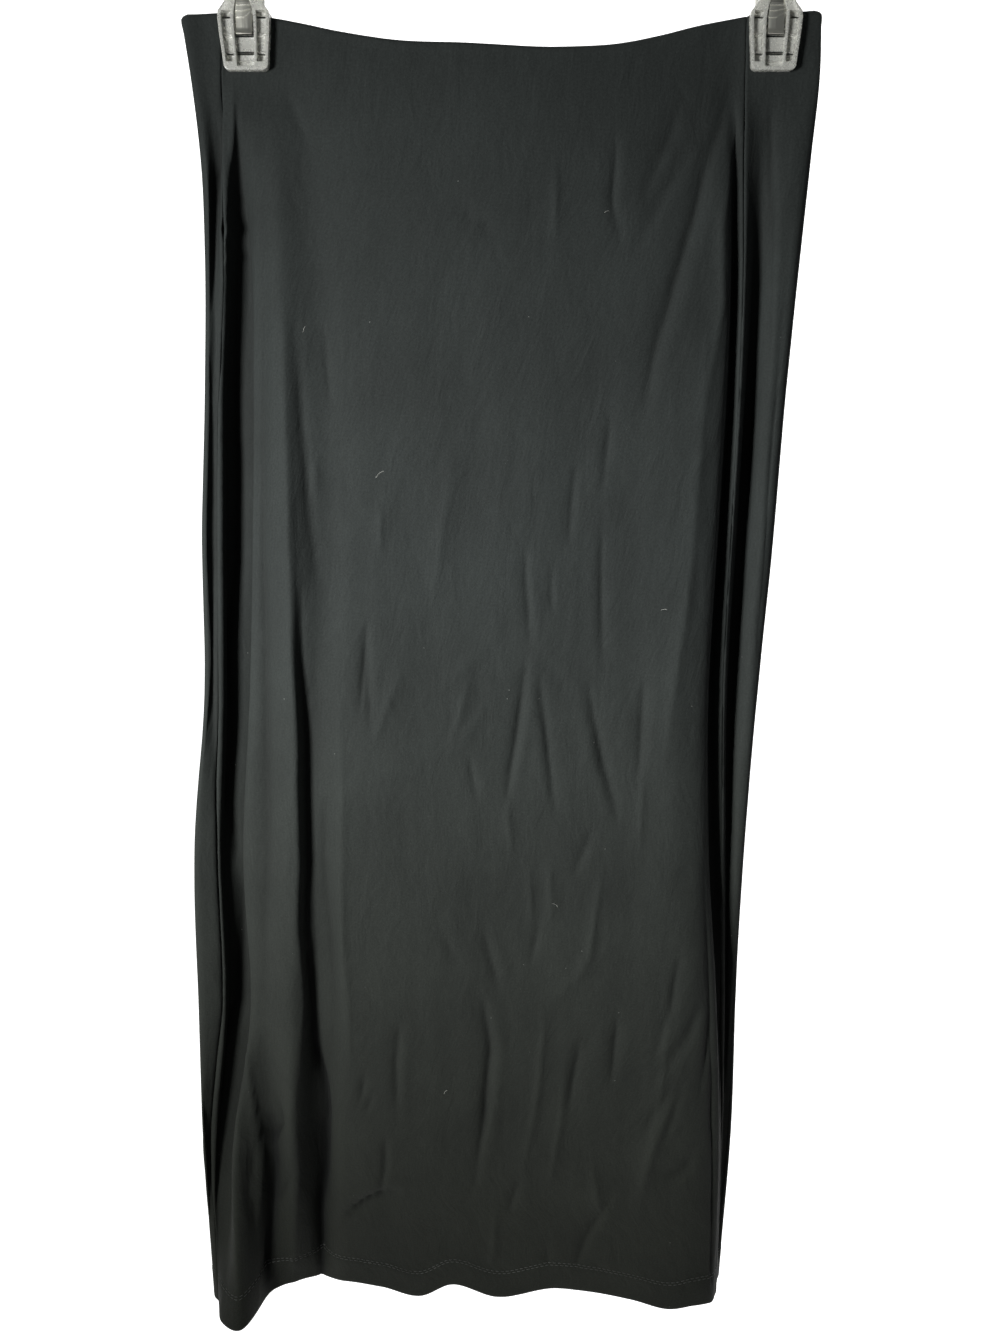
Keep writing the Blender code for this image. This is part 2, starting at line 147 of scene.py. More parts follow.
def strip_across(
    profile: list[tuple[float, float]], start: float, width: float, unit: float = 1.0,
) -> bmesh.types.BMesh:
    """Draw a profile out into a strip that runs across.

    Args:
        profile: Depth and height of each of its points.
        start: Where the strip begins across.
        width: How wide it is.
        unit: The size in metres of the unit that these are in.

    Returns:
        The strip, with its normals made to agree.
    """
    shape = bmesh.new()
    corners = [shape.verts.new(Vector((start, depth, height)) * unit) for depth, height in profile]
    edges = [shape.edges.new(pair) for pair in zip(corners, corners[1:])]
    made = bmesh.ops.extrude_edge_only(shape, edges=edges)["geom"]
    moved = [item for item in made if isinstance(item, bmesh.types.BMVert)]
    bmesh.ops.translate(shape, verts=moved, vec=(width * unit, 0.0, 0.0))
    bmesh.ops.recalc_face_normals(shape, faces=shape.faces)
    return shape


def tube_mesh(curve: bpy.types.Curve) -> bpy.types.Mesh:
    """Turn a curve with a round bevel into the mesh of its tube.

    Args:
        curve: The curve.

    Returns:
        Its mesh, without materials.
    """
    loose = bpy.data.objects.new(curve.name + "_curve", curve)
    bpy.context.scene.collection.objects.link(loose)
    mesh = bpy.data.meshes.new_from_object(loose.evaluated_get(bpy.context.evaluated_depsgraph_get()))
    bpy.data.objects.remove(loose, do_unlink=True)
    mesh.materials.clear()
    return mesh


# Finishes

@dataclass(frozen=True)
class JerseyFinish:
    """Viscose and elastane single jersey, piece-dyed black and faded by washing.

    A matt, very dark grey with a faint vertical rib and a soft gleam where it turns. Shade is painted into
    its colour in the hollows and creases of its folds, and a little painted light goes on folds that stand
    out.
    """

    worn: str = "#343837"
    worn_low: str = "#34362f"  # the hem end has faded a little browner
    # painted shade: the colour that hollows and creases are painted towards
    painted_hollow_shade: str = "#191a19"
    lint: str = "#8b8c88"
    roughness: float = 0.78
    rib_pitch: float = 1.5 * MM  # the knit's own ribs are 0.6 mm, too fine to show
    rib_along: float = 0.16  # scale down the cloth, as a share of the scale across
    fuzz_size: float = 1.4 * MM
    crumple: float = 17.0 * MM
    crumple_along: float = 0.42
    lint_cell: float = 11.0 * MM
    lint_radius: float = 0.032  # as a share of its cell
    lint_from: float = 0.78  # cells whose random value is above this have lint
    hem_fade: tuple[float, float] = (-1.06, -0.45)  # heights between which the browner tone fades out

    def build(self, name: str) -> bpy.types.Material:
        """Make the material.

        Args:
            name: The material's name.

        Returns:
            The material, which reads the piece's UV map in metres and its relief attribute, which carries
            painted shade for hollows and creases and a little painted light for folds that stand out.
        """
        made, tree, shader = new_material(name)
        uv = add_node(tree, "UVMap", {"uv_map": "cloth"}).outputs[0]
        # the relief attribute is painted shade and light: below 0 it darkens hollows and creases, above 0 it
        # lightens standing folds a little
        relief = add_node(tree, "Attribute", {"attribute_name": "relief"}).outputs["Fac"]
        # ribs run down the cloth, so the pattern is stretched along it
        ribs = add_node(
            tree, "Mapping", {}, {"Scale": (1 / self.rib_pitch, self.rib_along / self.rib_pitch, 1.0)},
            {"Vector": uv},
        )
        grain = add_node(
            tree, "TexNoise", {}, {"Scale": 1.0, "Detail": 3.0, "Roughness": 0.6}, {"Vector": ribs.outputs[0]}
        )
        fuzz = add_node(
            tree, "TexNoise", {}, {"Scale": 1 / self.fuzz_size, "Detail": 2.0, "Roughness": 0.7},
            {"Vector": uv},
        )
        cloudy = add_node(
            tree, "TexNoise", {}, {"Scale": 14.0, "Detail": 3.0, "Roughness": 0.5}, {"Vector": uv}
        )
        painted_shade_mix = add_node(
            tree, "MapRange", {}, {"From Min": -1.0, "From Max": 1.0, "To Min": 0.0, "To Max": 1.0},
            {"Value": relief},
        )
        mottled = add_node(
            tree, "Math", {"operation": "MULTIPLY_ADD"}, {1: 0.44, 2: -0.22}, {0: cloudy.outputs["Fac"]}
        )
        # painted shade and light from the relief attribute, plus the cloudy uneven fading of the dye
        fade = add_node(
            tree, "Math", {"operation": "ADD", "use_clamp": True}, {},
            {0: painted_shade_mix.outputs[0], 1: mottled.outputs[0]},
        )
        height_up = add_node(tree, "SeparateXYZ", {}, {}, {0: uv})
        upper = add_node(
            tree, "MapRange", {},
            {"From Min": self.hem_fade[0], "From Max": self.hem_fade[1], "To Min": 0.0, "To Max": 1.0},
            {"Value": height_up.outputs["Y"]},
        )
        face = add_node(
            tree, "Mix", MIX_COLOURS, {6: linear(self.worn_low), 7: linear(self.worn)},
            {0: upper.outputs[0]},
        )
        # the cloth's colour darkened by painted shade in hollows and creases
        base = add_node(
            tree, "Mix", MIX_COLOURS, {6: linear(self.painted_hollow_shade)}, {0: fade.outputs[0], 7: face.outputs[2]}
        )
        speck = add_node(
            tree, "MapRange", {}, {**NOISE_SPAN, "To Min": 0.82, "To Max": 1.2},
            {"Value": fuzz.outputs["Fac"]},
        )
        ribbed = add_node(
            tree, "MapRange", {}, {**NOISE_SPAN, "To Min": 0.92, "To Max": 1.09},
            {"Value": grain.outputs["Fac"]},
        )
        shade = add_node(
            tree, "Math", {"operation": "MULTIPLY"}, {}, {0: speck.outputs[0], 1: ribbed.outputs[0]}
        )
        toned = add_node(
            tree, "VectorMath", {"operation": "SCALE"}, {}, {0: base.outputs[2], "Scale": shade.outputs[0]}
        )
        # dust: a pale speck in some cells of the cloth
        cells = add_node(tree, "TexVoronoi", {"feature": "F1"}, {"Scale": 1 / self.lint_cell}, {"Vector": uv})
        near = add_node(
            tree, "Math", {"operation": "LESS_THAN"}, {1: self.lint_radius}, {0: cells.outputs["Distance"]}
        )
        chosen = add_node(tree, "SeparateColor", {}, {}, {0: cells.outputs["Color"]})
        picked = add_node(
            tree, "Math", {"operation": "GREATER_THAN"}, {1: self.lint_from}, {0: chosen.outputs[0]}
        )
        dusty = add_node(
            tree, "Math", {"operation": "MULTIPLY"}, {}, {0: near.outputs[0], 1: picked.outputs[0]}
        )
        dust = add_node(tree, "Math", {"operation": "MULTIPLY"}, {1: 0.5}, {0: dusty.outputs[0]})
        final = add_node(
            tree, "Mix", MIX_COLOURS, {7: linear(self.lint)}, {0: dust.outputs[0], 6: toned.outputs[0]}
        )
        tree.links.new(final.outputs[2], shader.inputs["Base Color"])
        height = add_node(
            tree, "Math", {"operation": "MULTIPLY_ADD"}, {1: 0.6},
            {0: grain.outputs["Fac"], 2: fuzz.outputs["Fac"]},
        )
        # the whole cloth is a little crumpled, in longish facets
        long_way = add_node(
            tree, "Mapping", {}, {"Scale": (1 / self.crumple, self.crumple_along / self.crumple, 1.0)},
            {"Vector": uv},
        )
        crumpled = add_node(
            tree, "TexNoise", {}, {"Scale": 1.0, "Detail": 3.0, "Roughness": 0.55, "Distortion": 0.6},
            {"Vector": long_way.outputs[0]},
        )
        waves = add_node(
            tree, "Bump", {}, {"Strength": 0.55, "Distance": 2.2 * MM}, {"Height": crumpled.outputs["Fac"]}
        )
        bump = add_node(
            tree, "Bump", {}, {"Strength": 0.4, "Distance": 0.4 * MM},
            {"Height": height.outputs[0], "Normal": waves.outputs[0]},
        )
        tree.links.new(bump.outputs[0], shader.inputs["Normal"])
        shader.inputs["Roughness"].default_value = self.roughness
        shader.inputs["IOR"].default_value = 1.47
        shader.inputs["Specular IOR Level"].default_value = 0.15
        shader.inputs["Sheen Weight"].default_value = 0.02
        shader.inputs["Sheen Roughness"].default_value = 0.5
        return made


@dataclass(frozen=True)
class ThreadFinish:
    """Spun polyester sewing thread, black gone grey, with a little more shine than the jersey."""

    dark: str = "#2a2b2a"
    colour: str = "#5a5b57"
    twist: float = 0.5 * MM

    def build(self, name: str) -> bpy.types.Material:
        """Make the material.

        Args:
            name: The material's name.

        Returns:
            The material, with the twist of the thread as a fine stripe.
        """
        made, tree, shader = new_material(name)
        place = add_node(tree, "TexCoord").outputs["Object"]
        twist = add_node(tree, "TexNoise", {}, {"Scale": 1 / self.twist, "Detail": 1.0}, {"Vector": place})
        tone = add_node(
            tree, "Mix", MIX_COLOURS, {6: linear(self.dark), 7: linear(self.colour)},
            {0: twist.outputs["Fac"]},
        )
        tree.links.new(tone.outputs[2], shader.inputs["Base Color"])
        shader.inputs["Roughness"].default_value = 0.5
        return made


@dataclass(frozen=True)
class ClearPlasticFinish:
    """General-purpose polystyrene, injection moulded and clear, with fine scuffs from use."""

    tint: str = "#e4e3dc"
    roughness: float = 0.2
    transmission: float = 0.5
    ior: float = 1.59

    def build(self, name: str) -> bpy.types.Material:
        """Make the material.

        Args:
            name: The material's name.

        Returns:
            The material.
        """
        made, tree, shader = new_material(name)
        place = add_node(tree, "TexCoord").outputs["Object"]
        scuff = add_node(
            tree, "TexNoise", {}, {"Scale": 260.0, "Detail": 4.0, "Roughness": 0.7}, {"Vector": place}
        )
        rough = add_node(
            tree, "MapRange", {},
            {"From Min": 0.35, "From Max": 0.75, "To Min": self.roughness, "To Max": self.roughness + 0.2},
            {"Value": scuff.outputs["Fac"]},
        )
        tree.links.new(rough.outputs[0], shader.inputs["Roughness"])
        bump = add_node(
            tree, "Bump", {}, {"Strength": 0.08, "Distance": 0.2 * MM}, {"Height": scuff.outputs["Fac"]}
        )
        tree.links.new(bump.outputs[0], shader.inputs["Normal"])
        shader.inputs["Base Color"].default_value = linear(self.tint)
        shader.inputs["Transmission Weight"].default_value = self.transmission
        shader.inputs["IOR"].default_value = self.ior
        return made


@dataclass(frozen=True)
class SteelFinish:
    """Cold-rolled strip or drawn wire, nickel or chrome plated, so it mirrors the pale room."""

    colour: str = "#e2e0d6"
    roughness: float = 0.42
    grain: float = 0.4 * MM

    def build(self, name: str) -> bpy.types.Material:
        """Make the material.

        Args:
            name: The material's name.

        Returns:
            The material.
        """
        made, tree, shader = new_material(name)
        place = add_node(tree, "TexCoord").outputs["Object"]
        drawn = add_node(
            tree, "Mapping", {}, {"Scale": (1 / self.grain, 1 / self.grain, 60.0)}, {"Vector": place}
        )
        lines = add_node(tree, "TexNoise", {}, {"Scale": 1.0, "Detail": 2.0}, {"Vector": drawn.outputs[0]})
        rough = add_node(
            tree, "MapRange", {},
            {**NOISE_SPAN, "To Min": self.roughness - 0.07, "To Max": self.roughness + 0.09},
            {"Value": lines.outputs["Fac"]},
        )
        tree.links.new(rough.outputs[0], shader.inputs["Roughness"])
        shader.inputs["Base Color"].default_value = linear(self.colour)
        shader.inputs["Metallic"].default_value = 1.0
        return made


@dataclass(frozen=True)
class BackdropFinish:
    """Seamless white background paper, lit evenly."""

    colour: str = "#f7f7f6"
    glow: float = 0.8

    def build(self, name: str) -> bpy.types.Material:
        """Make the material.

        Args:
            name: The material's name.

        Returns:
            The material.
        """
        made, tree, shader = new_material(name)
        place = add_node(tree, "TexCoord").outputs["Object"]
        fibre = add_node(tree, "TexNoise", {}, {"Scale": 40.0, "Detail": 3.0}, {"Vector": place})
        bump = add_node(
            tree, "Bump", {}, {"Strength": 0.03, "Distance": 0.2 * MM}, {"Height": fibre.outputs["Fac"]}
        )
        tree.links.new(bump.outputs[0], shader.inputs["Normal"])
        shader.inputs["Base Color"].default_value = linear(self.colour)
        shader.inputs["Roughness"].default_value = 0.9
        shader.inputs["Emission Color"].default_value = (1.0, 1.0, 1.0, 1.0)
        shader.inputs["Emission Strength"].default_value = self.glow
        return made


# The skirt's form. Places are in millimetres; the first number of a row is how far down it lies.

FRONT_ACROSS: Table = (
    # down  seam  wall valley  edge  hollow ridge trough left   mid right ridge edge valley seam
    (0.000, -173, -171, -168, -160, -153, -146, -130, -100, -10, 70, 112, 130, 137, 143),
    (0.030, -176, -173, -169, -161, -154, -147, -130, -100, -10, 70, 112, 131, 138, 144),
    (0.084, -178, -174, -168, -158, -151, -144, -127, -100, -10, 70, 114, 133, 140, 145),
    (0.149, -181, -177, -168, -161, -153, -145, -124, -98, -10, 72, 118, 137, 143, 148),
    (0.235, -190, -186, -170, -166, -157, -147, -121, -98, -10, 75, 121, 138, 145, 150),
    (0.332, -197, -193, -173, -172, -161, -149, -123, -101, -10, 78, 120, 137, 144, 150),
    (0.450, -204, -200, -179, -181, -167, -151, -134, -110, -10, 80, 119, 136, 143, 151),
    (0.580, -215, -211, -190, -193, -176, -156, -140, -113, -10, 82, 122, 142, 150, 158),
    (0.720, -219, -216, -197, -196, -184, -162, -145, -119, -10, 86, 130, 154, 161, 167),
    (0.860, -236, -233, -220, -216, -189, -171, -150, -129, -10, 92, 142, 162, 169, 173),
    (1.000, -236, -234, -229, -211, -192, -173, -154, -133, -10, 98, 145, 164, 169.5, 172),
)
FRONT_DEPTH: Table = (
    (0.000, -0.75, -0.75, -0.75, -0.75, -0.75, -0.75, -2, -5, -9, -6, -2.5, -1, -0.75, -0.75),
    (0.030, -1, -0.9, -0.8, -0.9, -0.9, -1, -3, -7, -11, -8, -3.5, -1.5, -0.9, -1),
    (0.084, -5, -3, 0, -4, -5.5, -6.5, -5.5, -10, -14, -12, -9, -7, -1, -5),
    (0.149, -5, 2, 7, -5, -9, -11, -8, -12, -15, -14, -13, -11, 2, -7),
    (0.235, 0, 8, 12, -6, -11, -14, -10, -13, -15, -16, -17, -13, 3, -7),
    (0.332, 2, 11, 15, -7, -13, -16, -11, -14, -15, -17, -20, -15, 3, -6),
    (0.450, 3, 13, 17, -7, -14, -18, -12, -16, -15, -18, -22, -16, 4, -4),
    (0.580, 4, 13, 17, -6, -13, -18, -10, -16, -14, -18, -22, -15, 5, 1),
    (0.720, 3, 12, 16, -5, -9, -16, -4, -14, -13, -18, -22, -16, 4, 8),
    (0.860, 3, 9, 12, -10, 4, -9, 5, -7, -11, -19, -22, -18, 0, 10),
    (1.000, -14, -20, -32, -40, -8, -1, 5, -1, -12, -20, -25, -22, -13, -6),
)
BACK_ACROSS: Table = (
    # down  notch flap  turn   side   turn  six lines over the back         turn    side    turn  nick
    (0.000, 152, 166, 186.2, 188.0, 186.2, 150, 75, 15, -50, -110, -165, -196.5, -198.5, -196.5, -185),
    (0.030, 153, 167, 187.0, 189.6, 187.0, 149, 75, 15, -50, -110, -164, -192.8, -195.5, -192.8, -184),
    (0.084, 157, 165, 184.0, 188.0, 184.0, 145, 75, 15, -50, -110, -162, -188.2, -192.7, -188.7, -183),
    (0.149, 159, 167, 181.2, 185.7, 181.2, 138, 75, 15, -50, -110, -162, -188.7, -194.7, -191.2, -186),
    (0.235, 160, 168, 178.0, 183.2, 177.0, 132, 75, 15, -50, -112, -165, -192.3, -200.8, -197.8, -193),
    (0.332, 160, 168, 176.6, 182.0, 173.6, 128, 75, 15, -50, -114, -170, -199.3, -209.8, -206.8, -201),
    (0.450, 159, 167, 174.4, 178.6, 169.2, 124, 75, 15, -50, -118, -176, -205.6, -216.6, -213.6, -209),
    (0.580, 164, 169, 173.7, 176.4, 167.2, 121, 76, 15, -52, -122, -187, -220.1, -232.6, -230.1, -222),
    (0.720, 170, 173, 176.8, 178.0, 168.0, 120, 78, 15, -55, -128, -193, -226.2, -238.7, -236.2, -227),
    (0.860, 175, 177, 181.6, 182.6, 170.6, 121, 80, 15, -58, -134, -198, -230.6, -241.6, -242.6, -240),
    (1.000, 173.2, 175.2, 177.6, 178.2, 166.5, 121, 80, 15, -60, -138, -199, -228.6, -240.8, -242.3, -240),
)
BACK_DEPTH: Table = (
    (0.000, -0.75, -0.75, -1.8, 0, 1.8, 0.75, 4.5, 7.5, 7, 3.5, 0.75, 1.8, 0, -1.8, -0.75),
    (0.030, -0.9, -0.9, -2.2, 0, 2.4, 1.4, 6.5, 9.5, 9, 5, 1.2, 2.4, 0, -2.2, -0.6),
    (0.084, 0, -3, -3.5, 1.5, 6, 8, 12, 14, 14, 11, 6, 6, 1, -3.5, -1),
    (0.149, 5, -4.5, -5, 3, 12, 15, 17, 18, 19, 17, 14, 13, 3, -4, -1),
    (0.235, 9, -4, -5, 6, 18, 21, 21, 21, 23, 21, 21, 20, 5, -3, -1),
    (0.332, 11, -2, -3, 9, 21, 25, 23, 23, 26, 23, 27, 25, 7, -1, 1),
    (0.450, 12, 1, 0, 12, 24, 29, 23, 25, 28, 24, 31, 27, 9, 0, 1),
    (0.580, 14, 5, 5, 15, 26, 33, 23, 27, 30, 25, 33, 28, 10, 0, 1),
    (0.720, 15, 12, 13, 19, 28, 37, 24, 29, 33, 26, 36, 29, 12, 0, 0),
    (0.860, 15, 17, 19, 23, 31, 40, 25, 31, 35, 27, 38, 31, 12, -1, 1),
    (1.000, -1.5, 4, 10, 16, 30, 42, 26, 33, 37, 28, 40, 33, 10, -3, -10),
)
FRONT_WAIST: Table = (
    (-198, -119), (-178, -118), (-140, -121), (-103, -129), (-67, -134.4), (-30, -136.2), (30, -138.3),
    (67, -135.8), (91, -131), (115, -125), (140, -120.2), (162, -117.6), (189, -116.2),
)
BACK_WAIST: Table = (
    (-198, -119), (-165, -118), (-110, -128), (-50, -135.6), (30, -138.3), (90, -131), (140, -120.2),
    (189, -116.2),
)
FRONT_HEM: Table = (
    (-240, -1056), (-217, -1058), (-193, -1052), (-173, -1048), (-154, -1051), (-130, -1049), (-104, -1051),
    (-70, -1057), (-47, -1044.5), (-10, -1053.5), (39, -1041.5), (70, -1043), (100, -1047.5), (130, -1053.5),
    (150, -1049.5), (162, -1049.5), (172, -1053),
)
BACK_HEM: Table = ((-246, -1056), (-150, -1052), (0, -1054), (120, -1051), (178, -1054))


def slopes(knots: list[float], values: list[float]) -> list[float]:
    """Slopes of a smooth curve at unevenly spaced knots.

    Args:
        knots: Places along the curve, rising.
        values: The curve's value at each.

    Returns:
        The slope at each knot.
    """
    rises = [(values[i + 1] - values[i]) / (knots[i + 1] - knots[i]) for i in range(len(knots) - 1)]
    found = [rises[0]]
    for i in range(1, len(knots) - 1):
        before, after = knots[i] - knots[i - 1], knots[i + 1] - knots[i]
        found.append((rises[i - 1] * after + rises[i] * before) / (before + after))
    return found + [rises[-1]]


def hermite(start: float, end: float, leave: float, arrive: float, t: float) -> float:
    """One stretch of a smooth curve, from its ends and its end slopes, t from 0 to 1."""
    return (
        start * (2 * t**3 - 3 * t**2 + 1) + leave * (t**3 - 2 * t**2 + t)
        + end * (3 * t**2 - 2 * t**3) + arrive * (t**3 - t**2)
    )


def smooth(knots: list[float], values: list[float], at: float) -> float:
    """Read a smooth curve through the values.

    Args:
        knots: Places along the curve, rising.
        values: The curve's value at each.
        at: Where to read it.

    Returns:
        The value there.
    """
    at = min(max(at, knots[0]), knots[-1])
    rates = slopes(knots, values)
    i = 0
    while i < len(knots) - 2 and at > knots[i + 1]:
        i += 1
    span = knots[i + 1] - knots[i]
    return hermite(values[i], values[i + 1], rates[i] * span, rates[i + 1] * span, (at - knots[i]) / span)


def edge_height(table: Table, across: float) -> float:
    """Height of a waist or hem edge at a place across, in millimetres."""
    return smooth([row[0] for row in table], [row[1] for row in table], across)


@dataclass
class Hang:
    """How the whole skirt hangs: its round at every height, and where the clips grip it."""

    front_steps: tuple[int, ...] = (6, 12, 14, 10, 11, 12, 16, 62, 56, 25, 13, 13, 7)
    back_steps: tuple[int, ...] = (10, 7, 5, 8, 8, 22, 27, 33, 35, 37, 31, 16, 11, 6, 4, 4)
    pinched: float = 0.75
    clip_centre: float = 160.0
    grip_half_width: float = 16.0
    grip_bottom: float = -153.0
    grip_fade: float = 26.0
    seam_gap: float = 0.3
    corners: tuple[float, float] = (-194.0, 183.5)
    corner_drop: float = 2.4

    def lines(self, down: float) -> list[Vector]:
        """Where every named line crosses the section that lies this far down, in millimetres."""
        points = []
        for across, depth in ((FRONT_ACROSS, FRONT_DEPTH), (BACK_ACROSS, BACK_DEPTH)):
            knots = [row[0] for row in across]
            for i in range(1, len(across[0])):
                x = smooth(knots, [row[i] for row in across], down)
                y = smooth(knots, [row[i] for row in depth], down)
                points.append(Vector((x, y)))
        return points

    def section(self, down: float) -> np.ndarray:
        """Read one closed section of the skirt.

        Args:
            down: How far down it lies, 0 at the waist and 1 at the hem.

        Returns:
            Its points round the skirt from the left seam, one row each, in millimetres.
        """
        points = self.lines(down)
        count = len(points)
        steps = self.front_steps + self.back_steps
        samples = []
        for i in range(count):
            near = [points[(i + k) % count] for k in (-1, 0, 1, 2)]
            widths = [math.sqrt(max((near[k + 1] - near[k]).length, 0.0025)) for k in range(3)]
            marks = [0.0, widths[0], widths[0] + widths[1], sum(widths)]
            rate_x = slopes(marks, [p.x for p in near])
            rate_y = slopes(marks, [p.y for p in near])
            for k in range(steps[i]):
                t = k / steps[i]
                samples.append((
                    hermite(near[1].x, near[2].x, rate_x[1] * widths[1], rate_x[2] * widths[1], t),
                    hermite(near[1].y, near[2].y, rate_y[1] * widths[1], rate_y[2] * widths[1], t),
                ))
        return np.array(samples)

    def columns(self, is_back: bool) -> list[int]:
        """The samples that make one panel, from seam to seam."""
        seam, total = sum(self.front_steps), sum(self.front_steps) + sum(self.back_steps)
        return [k % total for k in range(seam, total + 1)] if is_back else list(range(seam + 1))

    def grip(self, across: np.ndarray, height: np.ndarray) -> np.ndarray:
        """How firmly the nearer clip holds the cloth flat, from 0 to 1, for places in millimetres."""
        aside = np.maximum(0.0, np.abs(np.abs(across) - self.clip_centre) - self.grip_half_width)
        below = np.maximum(0.0, self.grip_bottom - height)
        away = np.minimum(1.0, np.hypot(aside, below) / self.grip_fade)
        return 1.0 - away * away * (3.0 - 2.0 * away)

    def surface(self, is_back: bool, downs: list[float]) -> tuple[np.ndarray, np.ndarray]:
        """Work out one panel's middle surface.

        Args:
            is_back: Whether it is the back panel.
            downs: How far down each row of points lies.

        Returns:
            The points, rows by columns by three, in millimetres, and the grip at each.
        """
        columns = self.columns(is_back)
        top, bottom = self.section(0.0), self.section(1.0)
        waist, hem = (BACK_WAIST, BACK_HEM) if is_back else (FRONT_WAIST, FRONT_HEM)
        high = np.array([edge_height(waist, x) for x in top[columns, 0]])
        low = np.array([edge_height(hem, x) for x in bottom[columns, 0]])
        # the folded corners of the waist edge are worn round
        past = np.maximum(top[columns, 0] - self.corners[1], self.corners[0] - top[columns, 0])
        high -= self.corner_drop * np.clip(past / 4.5, 0.0, 1.0) ** 2
        flat = np.clip(top[columns, 1], -self.pinched, self.pinched)
        points = np.zeros((len(downs), len(columns), 3))
        held = np.zeros((len(downs), len(columns)))
        for row, down in enumerate(downs):
            ring = self.section(down)[columns]
            height = high + (low - high) * down
            held[row] = self.grip(ring[:, 0], height)
            points[row, :, 0] = ring[:, 0]
            points[row, :, 1] = ring[:, 1] + (flat - ring[:, 1]) * held[row]
            points[row, :, 2] = height
        half = self.seam_gap / 2
        for end, inner in ((0, 1), (-1, -2)):
            step = points[:, inner] - points[:, end]
            points[:, end] += step / np.linalg.norm(step, axis=1, keepdims=True) * half
        return points, held


# Creases

class Fold(Enum):
    """Which way a crease goes."""

    TROUGH = -1.0
    RIDGE = 1.0


@dataclass(frozen=True)
class Crease:
    """One soft crease; places and sizes in millimetres.

    The lean, from -1 to 1, says on which side of its path the cloth swells beside it.
    """

    fold: Fold
    half_width: float
    depth: float
    lean: float
    path: tuple[tuple[float, float], ...]

    def height(self, across: np.ndarray, up: np.ndarray) -> np.ndarray:
        """How far the crease moves the cloth outwards at each place.

        Args:
            across: Places across, in millimetres.
            up: Their heights, in millimetres.

        Returns:
            The move outwards at each place, in millimetres.
        """
        best = np.full(across.shape, 1e9)
        side = np.zeros(across.shape)
        along = np.zeros(across.shape)
        lengths = [math.dist(a, b) for a, b in zip(self.path, self.path[1:])]
        total, gone = sum(lengths), 0.0
        for (x0, z0), (x1, z1), length in zip(self.path, self.path[1:], lengths):
            ux, uz = (x1 - x0) / length, (z1 - z0) / length
            t = (across - x0) * ux + (up - z0) * uz
            clipped = np.clip(t, 0.0, length)
            away = np.hypot(across - x0 - ux * clipped, up - z0 - uz * clipped)
            closer = away < best
            best = np.where(closer, away, best)
            side = np.where(closer, (across - x0) * -uz + (up - z0) * ux, side)
            along = np.where(closer, gone + clipped, along)
            gone += length
        share = np.clip(along / total, 0.0, 1.0)
        taper = np.clip(np.sin(np.pi * (0.06 + 0.88 * share)), 0.0, 1.0) ** 0.8
        signed = np.sign(side) * best / self.half_width
        # a creased knit breaks at a fairly sharp line and eases out on both sides
        main = np.exp(0.3 - 1.5 * np.sqrt(signed**2 + 0.04)) * 0.95 + np.exp(-((signed / 3.0) ** 2)) * 0.2
        swell = np.exp(-(((signed - 2.1 * np.sign(self.lean)) / 1.7) ** 2)) * abs(self.lean) * 0.5
        return self.depth * taper * (self.fold.value * main + swell)


